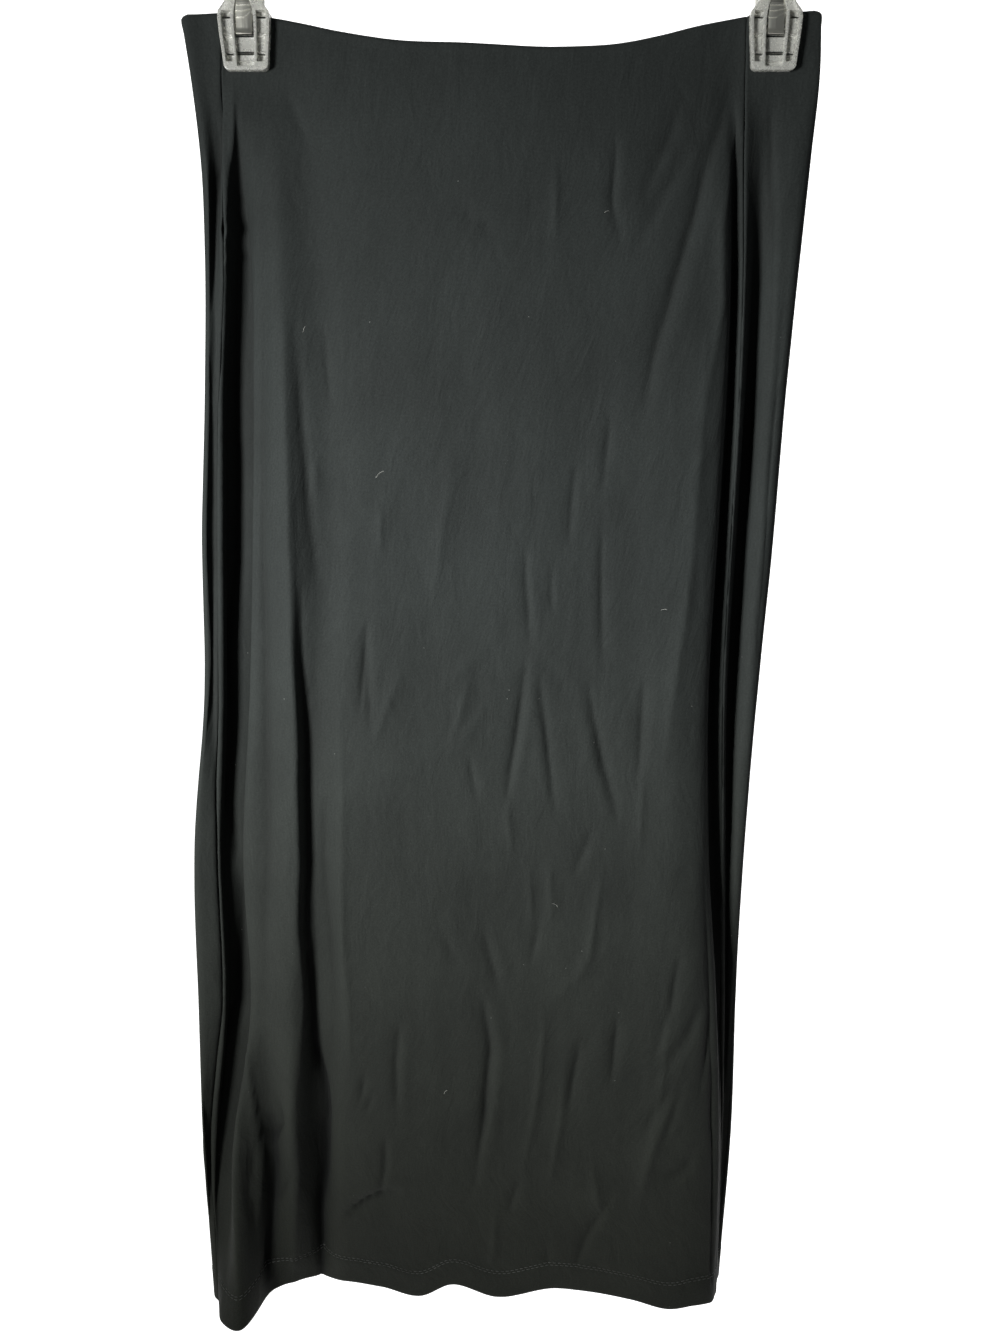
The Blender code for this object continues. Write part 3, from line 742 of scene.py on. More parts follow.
T, R = Fold.TROUGH, Fold.RIDGE
FRONT_CREASES: tuple[Crease, ...] = (
    # fold, half width, depth, lean, path across and up
    Crease(R, 3.9, 1.5, 0.0, ((-11, -503), (-49, -538))),
    Crease(R, 3.1, 1.5, 0.0, ((-27, -529), (-42, -580))),
    Crease(R, 2.3, 1.2, 0.0, ((-15, -548), (-37, -580))),
    Crease(T, 2.3, 1.7, 0.6, ((-29, -587), (-22, -617))),
    Crease(T, 2.7, 2.9, 0.7, ((13, -522), (7, -564), (-1, -617))),
    Crease(T, 2.7, 2.4, -0.5, ((22, -529), (29, -587), (34, -627))),
    Crease(T, 2.3, 1.9, 0.4, ((11, -442), (15, -503))),
    Crease(T, 2.0, 1.4, 0.3, ((29, -451), (30, -484))),
    Crease(T, 2.5, 1.5, 0.4, ((44, -386), (39, -436))),
    Crease(T, 2.7, 1.5, -0.4, ((65, -355), (61, -400))),
    Crease(T, 2.7, 1.7, -0.4, ((61, -427), (65, -516))),
    Crease(T, 3.1, 2.7, -0.8, ((56, -538), (66, -586), (79, -634))),
    Crease(T, 3.0, 2.2, 0.5, ((93, -529), (92, -597))),
    Crease(R, 2.7, 1.5, 0.0, ((95, -597), (94, -655))),
    Crease(T, 2.0, 1.5, 0.4, ((24, -519), (45, -541))),
    Crease(T, 2.8, 1.7, 0.5, ((-98, -507), (-95, -561))),
    Crease(R, 3.5, 1.5, 0.0, ((-75, -525), (-94, -577))),
    Crease(R, 2.3, 1.4, 0.0, ((-1, -619), (3, -661))),
    Crease(T, 3.1, 2.0, 0.6, ((-17, -724), (-6, -769))),
    Crease(T, 3.3, 4.4, 0.8, ((-19, -780), (-14, -822), (-19, -893), (-27, -947))),
    Crease(R, 2.8, 1.9, 0.0, ((-11, -873), (-27, -943))),
    Crease(T, 2.7, 1.4, 0.3, ((-52, -717), (-36, -747))),
    Crease(R, 2.7, 1.4, 0.0, ((14, -674), (18, -717))),
    Crease(R, 2.7, 1.4, 0.0, ((30, -667), (32, -710))),
    Crease(T, 2.7, 1.7, 0.4, ((24, -717), (18, -747))),
    Crease(R, 3.6, 1.9, 0.0, ((67, -674), (61, -742), (56, -752), (32, -780))),
    Crease(T, 2.8, 1.9, 0.4, ((61, -640), (48, -674))),
    Crease(T, 3.3, 2.7, -0.6, ((54, -814), (48, -869))),
    Crease(R, 3.6, 1.9, 0.0, ((44, -853), (34, -943))),
    Crease(R, 3.3, 2.0, 0.0, ((26, -791), (25, -846), (12, -931))),
    Crease(T, 3.0, 2.0, 0.4, ((11, -939), (1, -968))),
    Crease(R, 5.5, 2.6, 0.0, ((126, -853), (104, -943))),
    Crease(T, 4.4, 2.6, 0.6, ((127, -738), (122, -778), (112, -820))),
    Crease(T, 4.4, 2.8, 0.6, ((146, -776), (135, -806), (112, -840))),
    Crease(T, 3.4, 2.2, 0.5, ((153, -792), (151, -827), (145, -856))),
    Crease(T, 4.4, 2.6, 0.6, ((125, -848), (116, -868), (106, -890))),
    Crease(T, 3.4, 2.4, 0.5, ((82, -791), (80, -846))),
    Crease(T, 4.6, 2.8, 0.6, ((146, -908), (135, -924), (120, -932))),
    Crease(T, 3.1, 2.5, 0.5, ((83, -951), (73, -968), (62, -989), (54, -1020))),
    Crease(R, 3.1, 1.7, 0.0, ((65, -926), (74, -968))),
    Crease(T, 2.3, 1.5, 0.3, ((30, -1003), (32, -1020))),
    Crease(R, 3.1, 1.7, 0.0, ((-9, -972), (-12, -1020))),
    Crease(T, 2.9, 2.6, 0.6, ((-83, -798), (-85, -834), (-85, -878))),
    Crease(T, 2.4, 2.6, 0.6, ((-95, -903), (-96, -930), (-101, -956))),
    Crease(T, 3.8, 5.2, 0.8, ((-129, -980), (-117, -968), (-107, -961), (-90, -955))),
    Crease(T, 2.3, 2.2, 0.4, ((-109, -847), (-113, -866))),
    Crease(T, 2.3, 2.0, 0.4, ((-104, -866), (-110, -879))),
    Crease(T, 2.8, 1.9, 0.4, ((105, -170), (82, -223))),
    Crease(T, 2.8, 1.9, 0.4, ((110, -194), (78, -252))),
    Crease(T, 2.5, 1.7, 0.4, ((65, -192), (63, -225), (70, -246))),
    Crease(R, 2.7, 1.2, 0.0, ((27, -205), (28, -248))),
    Crease(T, 2.8, 1.4, 0.4, ((-33, -227), (-6, -243))),
    Crease(T, 3.1, 1.4, 0.3, ((-141, -158), (-125, -190))),
    Crease(R, 3.9, 2.0, 0.0, ((139, -170), (132, -238), (135, -285), (126, -345))),
    Crease(R, 3.6, 2.0, 0.0, ((-122, -619), (-121, -730), (-120, -839))),
    # at the left ridge, the left seam and the folds above the hem's left corner
    Crease(
        R, 4.4, 4.2, 0.0,
        ((-143, -295), (-144, -375), (-146, -447), (-148, -509), (-149, -574), (-151, -618),
         (-152, -664), (-156, -720), (-156, -778), (-160, -842)),
    ),
    Crease(
        T, 6.5, 3.6, 0.0,
        ((-153, -224), (-157, -313), (-162, -375), (-166, -448), (-168, -510), (-171, -575),
         (-172, -620), (-174, -666), (-179, -722), (-184, -780)),
    ),
    Crease(T, 3.8, 3.0, 0.0, ((-136, -301), (-133, -375), (-130, -458))),
    Crease(
        T, 4.2, 4.6, 0.0,
        ((-140, -468), (-142, -510), (-141, -575), (-143, -621), (-144, -667), (-148, -723), (-149, -782)),
    ),
    Crease(T, 3.2, 1.8, -0.4, ((-131, -621), (-133, -667), (-131, -723), (-132, -790), (-140, -851))),
    Crease(R, 3.0, 1.6, 0.0, ((-116, -546), (-119, -597), (-118, -666), (-121, -722), (-125, -789))),
    Crease(R, 3.0, 1.5, 0.0, ((-128, -381), (-127, -404))),
    Crease(T, 2.6, 1.2, 0.4, ((-119, -299), (-116, -347))),
    Crease(R, 6.0, 1.4, 0.0, ((-37, -386), (-46, -437), (-52, -482))),
    Crease(R, 2.8, 1.3, 0.0, ((-85, -413), (-85, -441))),
    Crease(T, 2.7, 1.9, 0.5, ((-97, -492), (-102, -551))),
    Crease(
        T, 2.8, 5.4, 0.0,
        ((-175, -133), (-176, -145), (-177, -171), (-180, -194), (-183, -211), (-185, -225),
         (-187, -243), (-190, -285)),
    ),
    Crease(
        R, 2.8, 2.8, 0.0,
        ((-168, -139), (-170, -172), (-172, -194), (-176, -211), (-178, -226), (-182, -253)),
    ),
    Crease(R, 2.0, 1.8, 0.0, ((-183, -244), (-187, -281), (-188, -309), (-189, -341))),
    Crease(R, 2.3, 2.2, 0.0, ((-182, -236), (-176, -242))),
    Crease(R, 2.3, 1.6, 0.0, ((-181, -254), (-180, -260))),
    Crease(R, 3.2, 1.0, 0.0, ((-164, -171), (-165, -185))),
    Crease(
        T, 6.0, 4.6, 0.0,
        ((-188, -292), (-195, -343), (-200, -410), (-203, -451), (-209, -516), (-211, -583), (-211, -638)),
    ),
    Crease(
        T, 3.8, 5.4, 0.0,
        ((-168, -198), (-172, -251), (-178, -312), (-182, -363), (-188, -450), (-197, -513),
         (-200, -580), (-206, -626), (-205, -673)),
    ),
    Crease(
        T, 6.0, 5.6, 0.0,
        ((-202, -696), (-206, -754), (-210, -797), (-221, -832), (-228, -877), (-237, -923), (-239, -982)),
    ),
    Crease(R, 2.1, 2.8, 0.0, ((-202, -812), (-201, -851), (-200, -887), (-198, -930), (-200, -995))),
    Crease(R, 2.0, 1.6, 0.0, ((-211, -862), (-212, -907), (-217, -949))),
    Crease(T, 2.6, 2.6, 0.0, ((-202, -916), (-207, -954), (-203, -987), (-203, -1023))),
    Crease(T, 6.0, 7.5, 0.0, ((-187, -893), (-189, -947), (-191, -991), (-196, -1032), (-205, -1160))),
    Crease(T, 2.4, 3.4, 0.5, ((-179, -872), (-177, -892), (-183, -907), (-190, -922))),
    Crease(T, 2.3, 2.6, 0.5, ((-171, -937), (-180, -956), (-186, -972))),
    Crease(R, 5.5, 2.8, 0.0, ((-162, -810), (-167, -881), (-169, -946), (-175, -1025), (-182, -1168))),
    Crease(
        T, 3.9, 8.5, 0.0,
        ((-150, -743), (-149, -785), (-148, -820), (-145, -856), (-145, -892), (-149, -935),
         (-152, -996), (-155, -1055), (-160, -1181)),
    ),
    # at the right seam and the lower right edge
    Crease(
        T, 14.0, 6.0, 0.0,
        ((149, -675), (155, -748), (162, -825), (166, -914), (169, -1009), (177, -1163)),
    ),
    Crease(R, 5.0, 1.8, 0.0, ((121, -753), (119, -808), (117, -860), (111, -904), (105, -962))),
    Crease(
        R, 7.0, 2.4, 0.0,
        ((125, -307), (125, -344), (123, -394), (120, -447), (116, -509), (109, -588)),
    ),
    Crease(
        T, 6.0, 2.8, 0.0,
        ((175, -205), (176, -258), (176, -306), (177, -356), (176, -408), (176, -470), (175, -548)),
    ),
    Crease(R, 2.8, 1.5, 0.0, ((140, -152), (142, -188))),
    Crease(
        T, 3.4, 5.2, 0.0,
        ((161, -171), (162, -190), (163, -221), (164, -263), (165, -309), (164, -363), (164, -429),
         (162, -492), (165, -584)),
    ),
    Crease(
        T, 3.8, 3.4, 0.5,
        ((136, -160), (129, -182), (121, -204), (117, -224), (110, -253), (102, -283), (93, -312),
         (87, -346)),
    ),
    Crease(R, 2.2, 1.8, 0.0, ((159, -893), (162, -958), (163, -1015), (169, -1100))),
    Crease(T, 2.6, 2.0, 0.4, ((134, -849), (126, -878), (115, -904))),
)
BACK_CREASES: tuple[Crease, ...] = (
    Crease(T, 3.5, 2.5, 0.5, ((-120, -165), (-98, -215), (-90, -262))),
    Crease(T, 3.5, 2.4, -0.5, ((118, -168), (98, -222), (92, -275))),
    Crease(T, 3.0, 1.7, 0.4, ((-60, -190), (-56, -238))),
    Crease(T, 3.1, 2.0, 0.4, ((30, -420), (22, -490))),
    Crease(R, 3.6, 2.0, 0.0, ((-20, -470), (-34, -540), (-30, -600))),
    Crease(T, 3.1, 2.7, 0.6, ((-8, -540), (4, -600), (2, -665))),
    Crease(T, 3.0, 2.2, -0.5, ((60, -520), (72, -600), (70, -650))),
    Crease(R, 3.4, 1.9, 0.0, ((95, -560), (88, -640))),
    Crease(T, 3.4, 3.7, 0.7, ((25, -760), (18, -830), (24, -905))),
    Crease(T, 3.3, 2.5, 0.5, ((-70, -700), (-62, -770))),
    Crease(T, 3.1, 2.4, -0.6, ((-105, -800), (-112, -880))),
    Crease(R, 3.9, 2.5, 0.0, ((-40, -840), (-52, -930))),
    Crease(T, 3.3, 2.5, 0.5, ((90, -860), (78, -930), (84, -990))),
    Crease(T, 3.1, 2.0, 0.4, ((-20, -960), (-26, -1020))),
    Crease(T, 3.0, 2.4, 0.6, ((-150, -560), (-146, -640))),
    Crease(R, 3.5, 2.2, 0.0, ((130, -420), (124, -500))),
)


# The skirt

@dataclass
class Panel:
    """One cut panel of the skirt, from side seam to side seam."""

    name: str
    node: str
    is_back: bool
    hang: Hang
    long_step: float = 5.6
    fine_step: float = 1.6
    turned_waist: float = 9.0
    turned_hem: float = 26.0
    stitch_lines: tuple[float, ...] = (23.2, 25.4)
    thickness: float = 0.8
    length: float = 930.0
    swells: Table = (
        # wide, tall, where it is read, size
        (46, 190, 1.7, 1.1),
        (21, 80, 5.2, 0.6),
        (9, 30, 9.4, 0.2),
    )
    firm_over: float = 30.0  # creases die away over this distance above the hem
    firm_least: float = 0.35
    points: np.ndarray = field(init=False)
    out: np.ndarray = field(init=False)
    downs: list[float] = field(init=False)

    def row_places(self) -> list[float]:
        """How far down each row lies: close together at the turned edges, wider between."""
        places = list(np.arange(0.0, self.turned_waist, self.fine_step))
        middle_end = self.length - self.turned_hem - 6.0
        count = round((middle_end - self.turned_waist) / self.long_step)
        places += list(np.linspace(self.turned_waist, middle_end, count, endpoint=False))
        last = round((self.length - middle_end) / self.fine_step) + 1
        places += list(np.linspace(middle_end, self.length, last))
        return [p / self.length for p in places]

    @staticmethod
    def normals(points: np.ndarray) -> np.ndarray:
        """Outward directions of a grid of points that runs anticlockwise seen from above."""
        across = np.gradient(points, axis=1)
        down = np.gradient(points, axis=0)
        out = np.cross(down, across)
        return out / np.linalg.norm(out, axis=2, keepdims=True)

    @staticmethod
    def fold_height(points: np.ndarray, out: np.ndarray, reach: float = 15.0) -> np.ndarray:
        """How far each point stands out of the cloth beside it in its own row, in millimetres."""
        standing = np.zeros(points.shape[:2])
        for row, line in enumerate(points):
            steps = np.linalg.norm(np.diff(line, axis=0), axis=1)
            along = np.concatenate([[0.0], np.cumsum(steps)])
            share = np.exp(-(((along[:, None] - along[None, :]) / reach) ** 2)) * np.gradient(along)[None, :]
            mean = share @ line / share.sum(axis=1, keepdims=True)
            standing[row] = ((line - mean) * out[row]).sum(axis=1)
        return standing

    def relief(self, points: np.ndarray, out: np.ndarray, held: np.ndarray) -> np.ndarray:
        """Add up creases, soft swells and sewn edges.

        Args:
            points: The plain surface.
            out: Its outward directions.
            held: The grip of the clips.

        Returns:
            How far each point moves outwards, in millimetres.
        """
        across, up = points[:, :, 0], points[:, :, 2]
        offset = 40.0 if self.is_back else 0.0
        swell, sway, drift = (np.zeros(across.shape) for _ in range(3))
        for place, x in np.ndenumerate(across):
            z = up[place]
            swell[place] = sum(
                noise.noise(Vector((x / wide + offset, z / tall, seed))) * size
                for wide, tall, seed, size in self.swells
            )
            sway[place] = noise.noise(Vector((x / 60, z / 55, 3.3))) * 1.6
            drift[place] = noise.noise(Vector((x / 30, z / 60, 7.9))) * 3.0
        across, up = across + sway, up + drift
        move = np.zeros(across.shape)
        for creases, facing in ((FRONT_CREASES, -out[:, :, 1]), (BACK_CREASES, out[:, :, 1])):
            laid = sum(crease.height(across, up) for crease in creases)
            move += laid * np.clip((facing - 0.3) / 0.4, 0.0, 1.0)
        fade = np.clip((-150.0 - up) / 250.0, 0.25, 1.0)
        move += swell * fade * (0.35 + 0.65 * np.abs(out[:, :, 1]))
        return move * (1.0 - held) + self.sewn_edges(across.shape)

    def sewn_edges(self, shape: tuple[int, ...]) -> np.ndarray:
        """How far the turned edges, stitch lines and side seams stand out or sink, in millimetres."""
        move = np.zeros(shape)
        for row, down in enumerate(self.downs):
            from_hem = (1.0 - down) * self.length
            from_waist = down * self.length
            if from_hem < self.turned_hem:
                move[row] += 0.3 * min(1.0, from_hem / 1.5)
            for line in self.stitch_lines:
                move[row] -= 0.4 * math.exp(-(((from_hem - line) / 1.1) ** 2))
            move[row] += 0.35 * math.exp(-(((from_waist - 2.0) / 2.6) ** 2))
            for side, allowance in ((0, 5.0), (-1, 6.0)):
                for step in range(5):
                    column = step if side == 0 else -1 - step
                    pucker = noise.noise(Vector((from_waist / 9.0, side * 3.1, 2.0))) * 0.35
                    move[row, column] += (0.35 + pucker) * math.exp(-((step * 1.7 / allowance) ** 2))
                move[row, side] -= 0.75
        return move

    def build(self, look: bpy.types.Material) -> bpy.types.Object:
        """Make the panel as a thin shell.

        Args:
            look: The jersey.

        Returns:
            The panel.
        """
        self.downs = self.row_places()
        plain, held = self.hang.surface(self.is_back, self.downs)
        out = self.normals(plain)
        move = self.relief(plain, out, held)
        # the stitched hem is stiffer, so creases run out towards it
        from_hem = (1.0 - np.array(self.downs)) * self.length
        firm = np.clip(from_hem / self.firm_over, self.firm_least, 1.0)[:, None]
        self.points = plain + out * (move * firm)[:, :, None]
        self.out = self.normals(self.points)
        # how far each point stands out of the cloth beside it, used only for painted shade and light
        standing = self.fold_height(plain + out * move[:, :, None], self.out)
        depth = move / 10.0 + standing / 7.0
        # painted shade and light for the jersey's colour: shallow creases keep nearly the cloth's own tone,
        # deep valleys and hollows are painted dark, folds that stand out are painted a little lighter
        painted_shade_and_light = np.clip(depth * np.abs(depth) / (np.abs(depth) + 0.45), -1.0, 0.1)
        rows, columns = move.shape
        shape = bmesh.new()
        bmesh.ops.create_grid(shape, x_segments=columns - 1, y_segments=rows - 1, size=0.5, calc_uvs=True)
        spans = np.linalg.norm(np.diff(self.points, axis=1), axis=2)
        around = np.concatenate([np.zeros((rows, 1)), np.cumsum(spans, axis=1)], axis=1)
        uv_layer = shape.loops.layers.uv.verify()
        # the relief attribute carries the painted shade and light to the jersey
        tone = shape.verts.layers.float.new("relief")
        place: dict[int, tuple[int, int]] = {}
        for vertex in shape.verts:
            column = round((vertex.co.x + 0.5) * (columns - 1))
            row = round((0.5 - vertex.co.y) * (rows - 1))
            place[vertex.index] = (row, column)
            vertex.co = Vector(self.points[row, column]) * MM
            vertex[tone] = float(painted_shade_and_light[row, column])
        for face in shape.faces:
            for loop in face.loops:
                row, column = place[loop.vert.index]
                loop[uv_layer].uv = (around[row, column] * MM, self.points[row, column, 2] * MM)
        shape.normal_update()
        shape.faces.ensure_lookup_table()
        middle = shape.faces[len(shape.faces) // 2]
        if middle.normal.dot(Vector(self.out[place[middle.verts[0].index]])) < 0:
            bmesh.ops.reverse_faces(shape, faces=shape.faces)
        mesh = as_mesh(self.name, shape, 180.0)
        mesh.uv_layers[0].name = "cloth"
        piece = add_object(self.name, mesh, look)
        shell = piece.modifiers.new("shell", "SOLIDIFY")
        shell.thickness = self.thickness * MM
        shell.offset = 0.0
        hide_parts(self.node)
        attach(piece, "root")
        LOG.info("%s: %d rows by %d columns", self.name, rows, columns)
        return piece

    def surface_line(self, from_hem: float) -> tuple[np.ndarray, np.ndarray]:
        """Read the surface along a line at an even distance above the hem.

        Args:
            from_hem: The distance above the hem, in millimetres.

        Returns:
            Points along the line, in millimetres, and the outward direction at each.
        """
        down = 1.0 - from_hem / self.length
        row = int(np.searchsorted(self.downs, down))
        share = (down - self.downs[row - 1]) / (self.downs[row] - self.downs[row - 1])
        line = self.points[row - 1] * (1 - share) + self.points[row] * share
        return line, self.out[row]


@dataclass
class HemStitches:
    """The twin-needle row of stitches that holds the turned hem."""

    stitch: float = 3.1
    gap: float = 0.9
    thread: float = 0.55

    def build(self, panel: Panel, look: bpy.types.Material) -> bpy.types.Object:
        """Lay one small rounded stitch after another along both needle lines.

        Args:
            panel: The panel that is sewn.
            look: The thread.

        Returns:
            All the panel's hem stitches, in one piece.
        """
        shape = bmesh.new()
        for line in panel.stitch_lines:
            points, outs = panel.surface_line(line)
            steps = np.linalg.norm(np.diff(points, axis=0), axis=1)
            along = np.concatenate([[0.0], np.cumsum(steps)])
            start = 1.5
            while start + self.stitch < along[-1] - 1.5:
                middle = start + self.stitch / 2
                spot = np.array([np.interp(middle, along, points[:, k]) for k in range(3)])
                ahead = np.array([np.interp(start + self.stitch, along, points[:, k]) for k in range(3)])
                behind = np.array([np.interp(start, along, points[:, k]) for k in range(3)])
                out = np.array([np.interp(middle, along, outs[:, k]) for k in range(3)])
                self.lay(shape, spot, ahead - behind, out, panel.thickness / 2)
                start += self.stitch + self.gap
        name = panel.name + "_hem_stitches"
        piece = add_object(name, as_mesh(name, shape, 60.0), look)
        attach(piece, "root")
        return piece

    def lay(
        self, shape: bmesh.types.BMesh, spot: np.ndarray, along: np.ndarray, out: np.ndarray, lift: float,
    ) -> None:
        """Add one stitch: a short six-sided rod with pinched ends, half sunk in the cloth."""
        length = Vector(along).length
        made = bmesh.ops.create_uvsphere(shape, u_segments=6, v_segments=4, radius=1.0)["verts"]
        forward = Vector(along).normalized()
        outward = Vector(out).normalized()
        outward = (outward - forward * outward.dot(forward)).normalized()
        sideways = outward.cross(forward)
        centre = (Vector(spot) + outward * (lift + self.thread * 0.1)) * MM
        for vertex in made:
            local = vertex.co.copy()
            reach = forward * local.z * length / 2 + sideways * local.x * self.thread / 2
            vertex.co = centre + (reach + outward * local.y * self.thread / 2) * MM


@dataclass
class Skirt:
    """The whole skirt: both panels, the hem stitches and the lint on it."""

    hang: Hang = field(default_factory=Hang)
    fibres: Table = (
        # across, up, length, slant in degrees, bend
        (-85, -391, 7.0, 40, 0.8),
        (-131, -300, 3.5, 70, 0.3),
        (60, -231, 3.0, 20, 0.2),
        (34, -700, 5.0, -35, 0.7),
        (-48, -860, 4.0, 55, 0.5),
        (104, -480, 3.5, 10, 0.4),
    )

    def build(self) -> None:
        """Build every piece of the skirt."""
        jersey = JerseyFinish().build("washed_black_jersey")
        thread = ThreadFinish().build("black_polyester_thread")
        front = Panel("front_panel", "skirt_front", False, self.hang)
        back = Panel("back_panel", "skirt_back", True, self.hang, long_step=7.0)
        for panel in (front, back):
            cloth = panel.build(jersey)
            stitches = HemStitches().build(panel, thread)
        self.lay_fibres(front)

    def lay_fibres(self, panel: Panel) -> None:
        """Lay a few pale lint fibres on the front."""
        made, _, shader = new_material("cotton_lint")
        shader.inputs["Base Color"].default_value = linear("#9a9a94")
        shader.inputs["Roughness"].default_value = 0.9
        curve = bpy.data.curves.new("lint_fibres", "CURVE")
        curve.dimensions = "3D"
        curve.bevel_depth = 0.14 * MM
        curve.bevel_resolution = 1
        flat = panel.points.reshape(-1, 3)
        outs = panel.out.reshape(-1, 3)
        for x, z, length, slant, bend in self.fibres:
            spline = curve.splines.new("POLY")
            spline.points.add(6)
            turn = math.radians(slant)
            for k, point in enumerate(spline.points):
                t = k / 6 - 0.5
                arc = bend * (0.25 - t * t) * 4
                u = t * length * math.cos(turn) - arc * math.sin(turn)
                v = t * length * math.sin(turn) + arc * math.cos(turn)
                far = (flat[:, 0] - x - u) ** 2 + (flat[:, 2] - z - v) ** 2 + (flat[:, 1] > 5) * 1e6
                near = int(np.argmin(far))
                spot = flat[near] + outs[near] * (panel.thickness / 2 + 0.12)
                point.co = (*(Vector((x + u, spot[1], z + v)) * MM), 1.0)
        piece = add_object("lint_fibres", tube_mesh(curve), made)
        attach(piece, "root")


# The hanger

@dataclass
class Clip:
    """One pinch clip: two moulded jaws and the sprung steel strip over the bar."""

    hand: str
    centre: float
    bottom: float = -150.0
    face: float = 6.4
    floor: float = 4.4
    inside: float = 1.65
    relief: float = 2.8
    relief_from: float = 37.0
    spring_width: float = 9.4
    spring_thickness: float = 0.8
    spring_foot: float = 19.8
    bar_top: float = -95.0
    bands: tuple[float, ...] = (-1.0, -0.86, -0.5, -0.39, 0.0, 0.39, 0.5, 0.86, 1.0)
    rows: Table = (
        # up, half width
        (0.0, 10.6), (0.9, 12.6), (2.2, 13.4), (4.6, 13.7), (8.6, 14.0), (9.7, 14.1), (18.3, 15.0),
        (19.5, 15.1), (28.4, 15.7), (32.0, 15.2), (35.0, 12.6), (37.0, 10.9), (52.0, 10.9), (58.0, 10.5),
    )
    # rows of cells that sink in the middle channel and in the two side channels, and how far
    channel: Table = (
        (2, 3.0), (3, 3.0), (4, 4.1), (5, 3.0), (6, 4.1), (7, 3.0), (8, 3.0), (9, 3.0), (10, 3.0),
        (11, 2.6), (12, 2.6),
    )
    side_channel: Table = ((3, 4.1), (4, 3.0), (5, 3.0), (6, 3.0), (7, 3.0), (8, 4.1))

    def jaw(self, side: int, look: bpy.types.Material) -> bpy.types.Object:
        """Model one jaw.

        Args:
            side: -1 for the front jaw and 1 for the back one.
            look: The clear plastic.

        Returns:
            The jaw.
        """
        shape = bmesh.new()
        bands, rows = len(self.bands) - 1, len(self.rows) - 1
        bmesh.ops.create_grid(shape, x_segments=bands, y_segments=rows, size=0.5)
        cells: dict[tuple[int, int], bmesh.types.BMFace] = {}
        for face in shape.faces:
            middle = face.calc_center_median()
            cells[(int((middle.x + 0.5) * bands), int((middle.y + 0.5) * rows))] = face
        for vertex in shape.verts:
            band = round((vertex.co.x + 0.5) * bands)
            up, half = self.rows[round((vertex.co.y + 0.5) * rows)]
            across = self.centre + self.bands[band] * half
            vertex.co = Vector((across, side * self.face, self.bottom + up)) * MM
        plate = bmesh.ops.extrude_face_region(shape, geom=list(shape.faces), use_keep_orig=True)["geom"]
        for item in plate:
            if isinstance(item, bmesh.types.BMVert):
                up = item.co.z / MM - self.bottom
                item.co.y = side * (self.relief if up > self.relief_from - 0.01 else self.inside) * MM
        for row, depth in self.channel:
            self.sink(shape, [cells[(c, int(row))] for c in (3, 4)], side, depth)
        for row, depth in self.side_channel:
            for column in (1, 6):
                self.sink(shape, [cells[(column, int(row))]], side, depth)
        bmesh.ops.remove_doubles(shape, verts=shape.verts, dist=0.01 * MM)
        bmesh.ops.recalc_face_normals(shape, faces=shape.faces)
        joined = [e for e in shape.edges if len(e.link_faces) == 2]
        sharp = [e for e in joined if e.calc_face_angle(0.0) > math.radians(35)]
        bmesh.ops.bevel(
            shape, geom=sharp, offset=0.32 * MM, segments=2, profile=0.5, affect="EDGES", material=-1,
            clamp_overlap=True,
        )
        end = "front" if side < 0 else "back"
        name = f"{self.hand}_clip_{end}_jaw_moulding"
        piece = add_object(name, as_mesh(name, shape, 30.0), look)
        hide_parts(f"clip_{self.hand}_{end}_jaw")
        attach(piece, "root")
        return piece

    def sink(
        self, shape: bmesh.types.BMesh, faces: list[bmesh.types.BMFace], side: int, depth: float,
    ) -> None:
        """Sink a few cells of the face as a recess."""
        made = bmesh.ops.extrude_face_region(shape, geom=faces)["geom"]
        moved = [item for item in made if isinstance(item, bmesh.types.BMVert)]
        bmesh.ops.translate(shape, verts=moved, vec=(0.0, -side * depth * MM, 0.0))
        bmesh.ops.delete(shape, geom=faces, context="FACES_ONLY")

    def spring(self, look: bpy.types.Material) -> bpy.types.Object:
        """Model the bent steel strip."""
        middle = self.floor + 0.3 + self.spring_thickness / 2
        foot = self.bottom + self.spring_foot
        shoulder = self.bar_top + 2.0
        profile = [
            (-middle - 1.6, foot - 0.6), (-middle - 0.9, foot + 0.4), (-middle - 0.2, foot + 1.6),
            (-middle, foot + 3.4),
        ]
        turn = 16
        for k in range(turn + 1):
            angle = math.pi - math.pi * k / turn
            profile.append((math.cos(angle) * middle, shoulder + math.sin(angle) * middle))
        profile += [(-y, z) for y, z in reversed(profile[:4])]
        shape = strip_across(profile, self.centre - self.spring_width / 2, self.spring_width, MM)
        name = f"{self.hand}_clip_steel_strip"
        piece = add_object(name, as_mesh(name, shape, 60.0), look)
        sheet = piece.modifiers.new("sheet", "SOLIDIFY")
        sheet.thickness = self.spring_thickness * MM
        sheet.offset = 0.0
        sheet.use_even_offset = True
        round_off = piece.modifiers.new("round", "BEVEL")
        round_off.width = 0.18 * MM
        round_off.segments = 2
        round_off.limit_method = "ANGLE"
        round_off.angle_limit = math.radians(50)
        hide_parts(f"clip_{self.hand}_spring")
        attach(piece, "root")
        return piece

    def build(self, plastic: bpy.types.Material, steel: bpy.types.Material) -> None:
        """Build the clip's three pieces."""
        for side in (-1, 1):
            self.jaw(side, plastic)
        self.spring(steel)
        LOG.info("%s clip at %.0f mm", self.hand, self.centre)


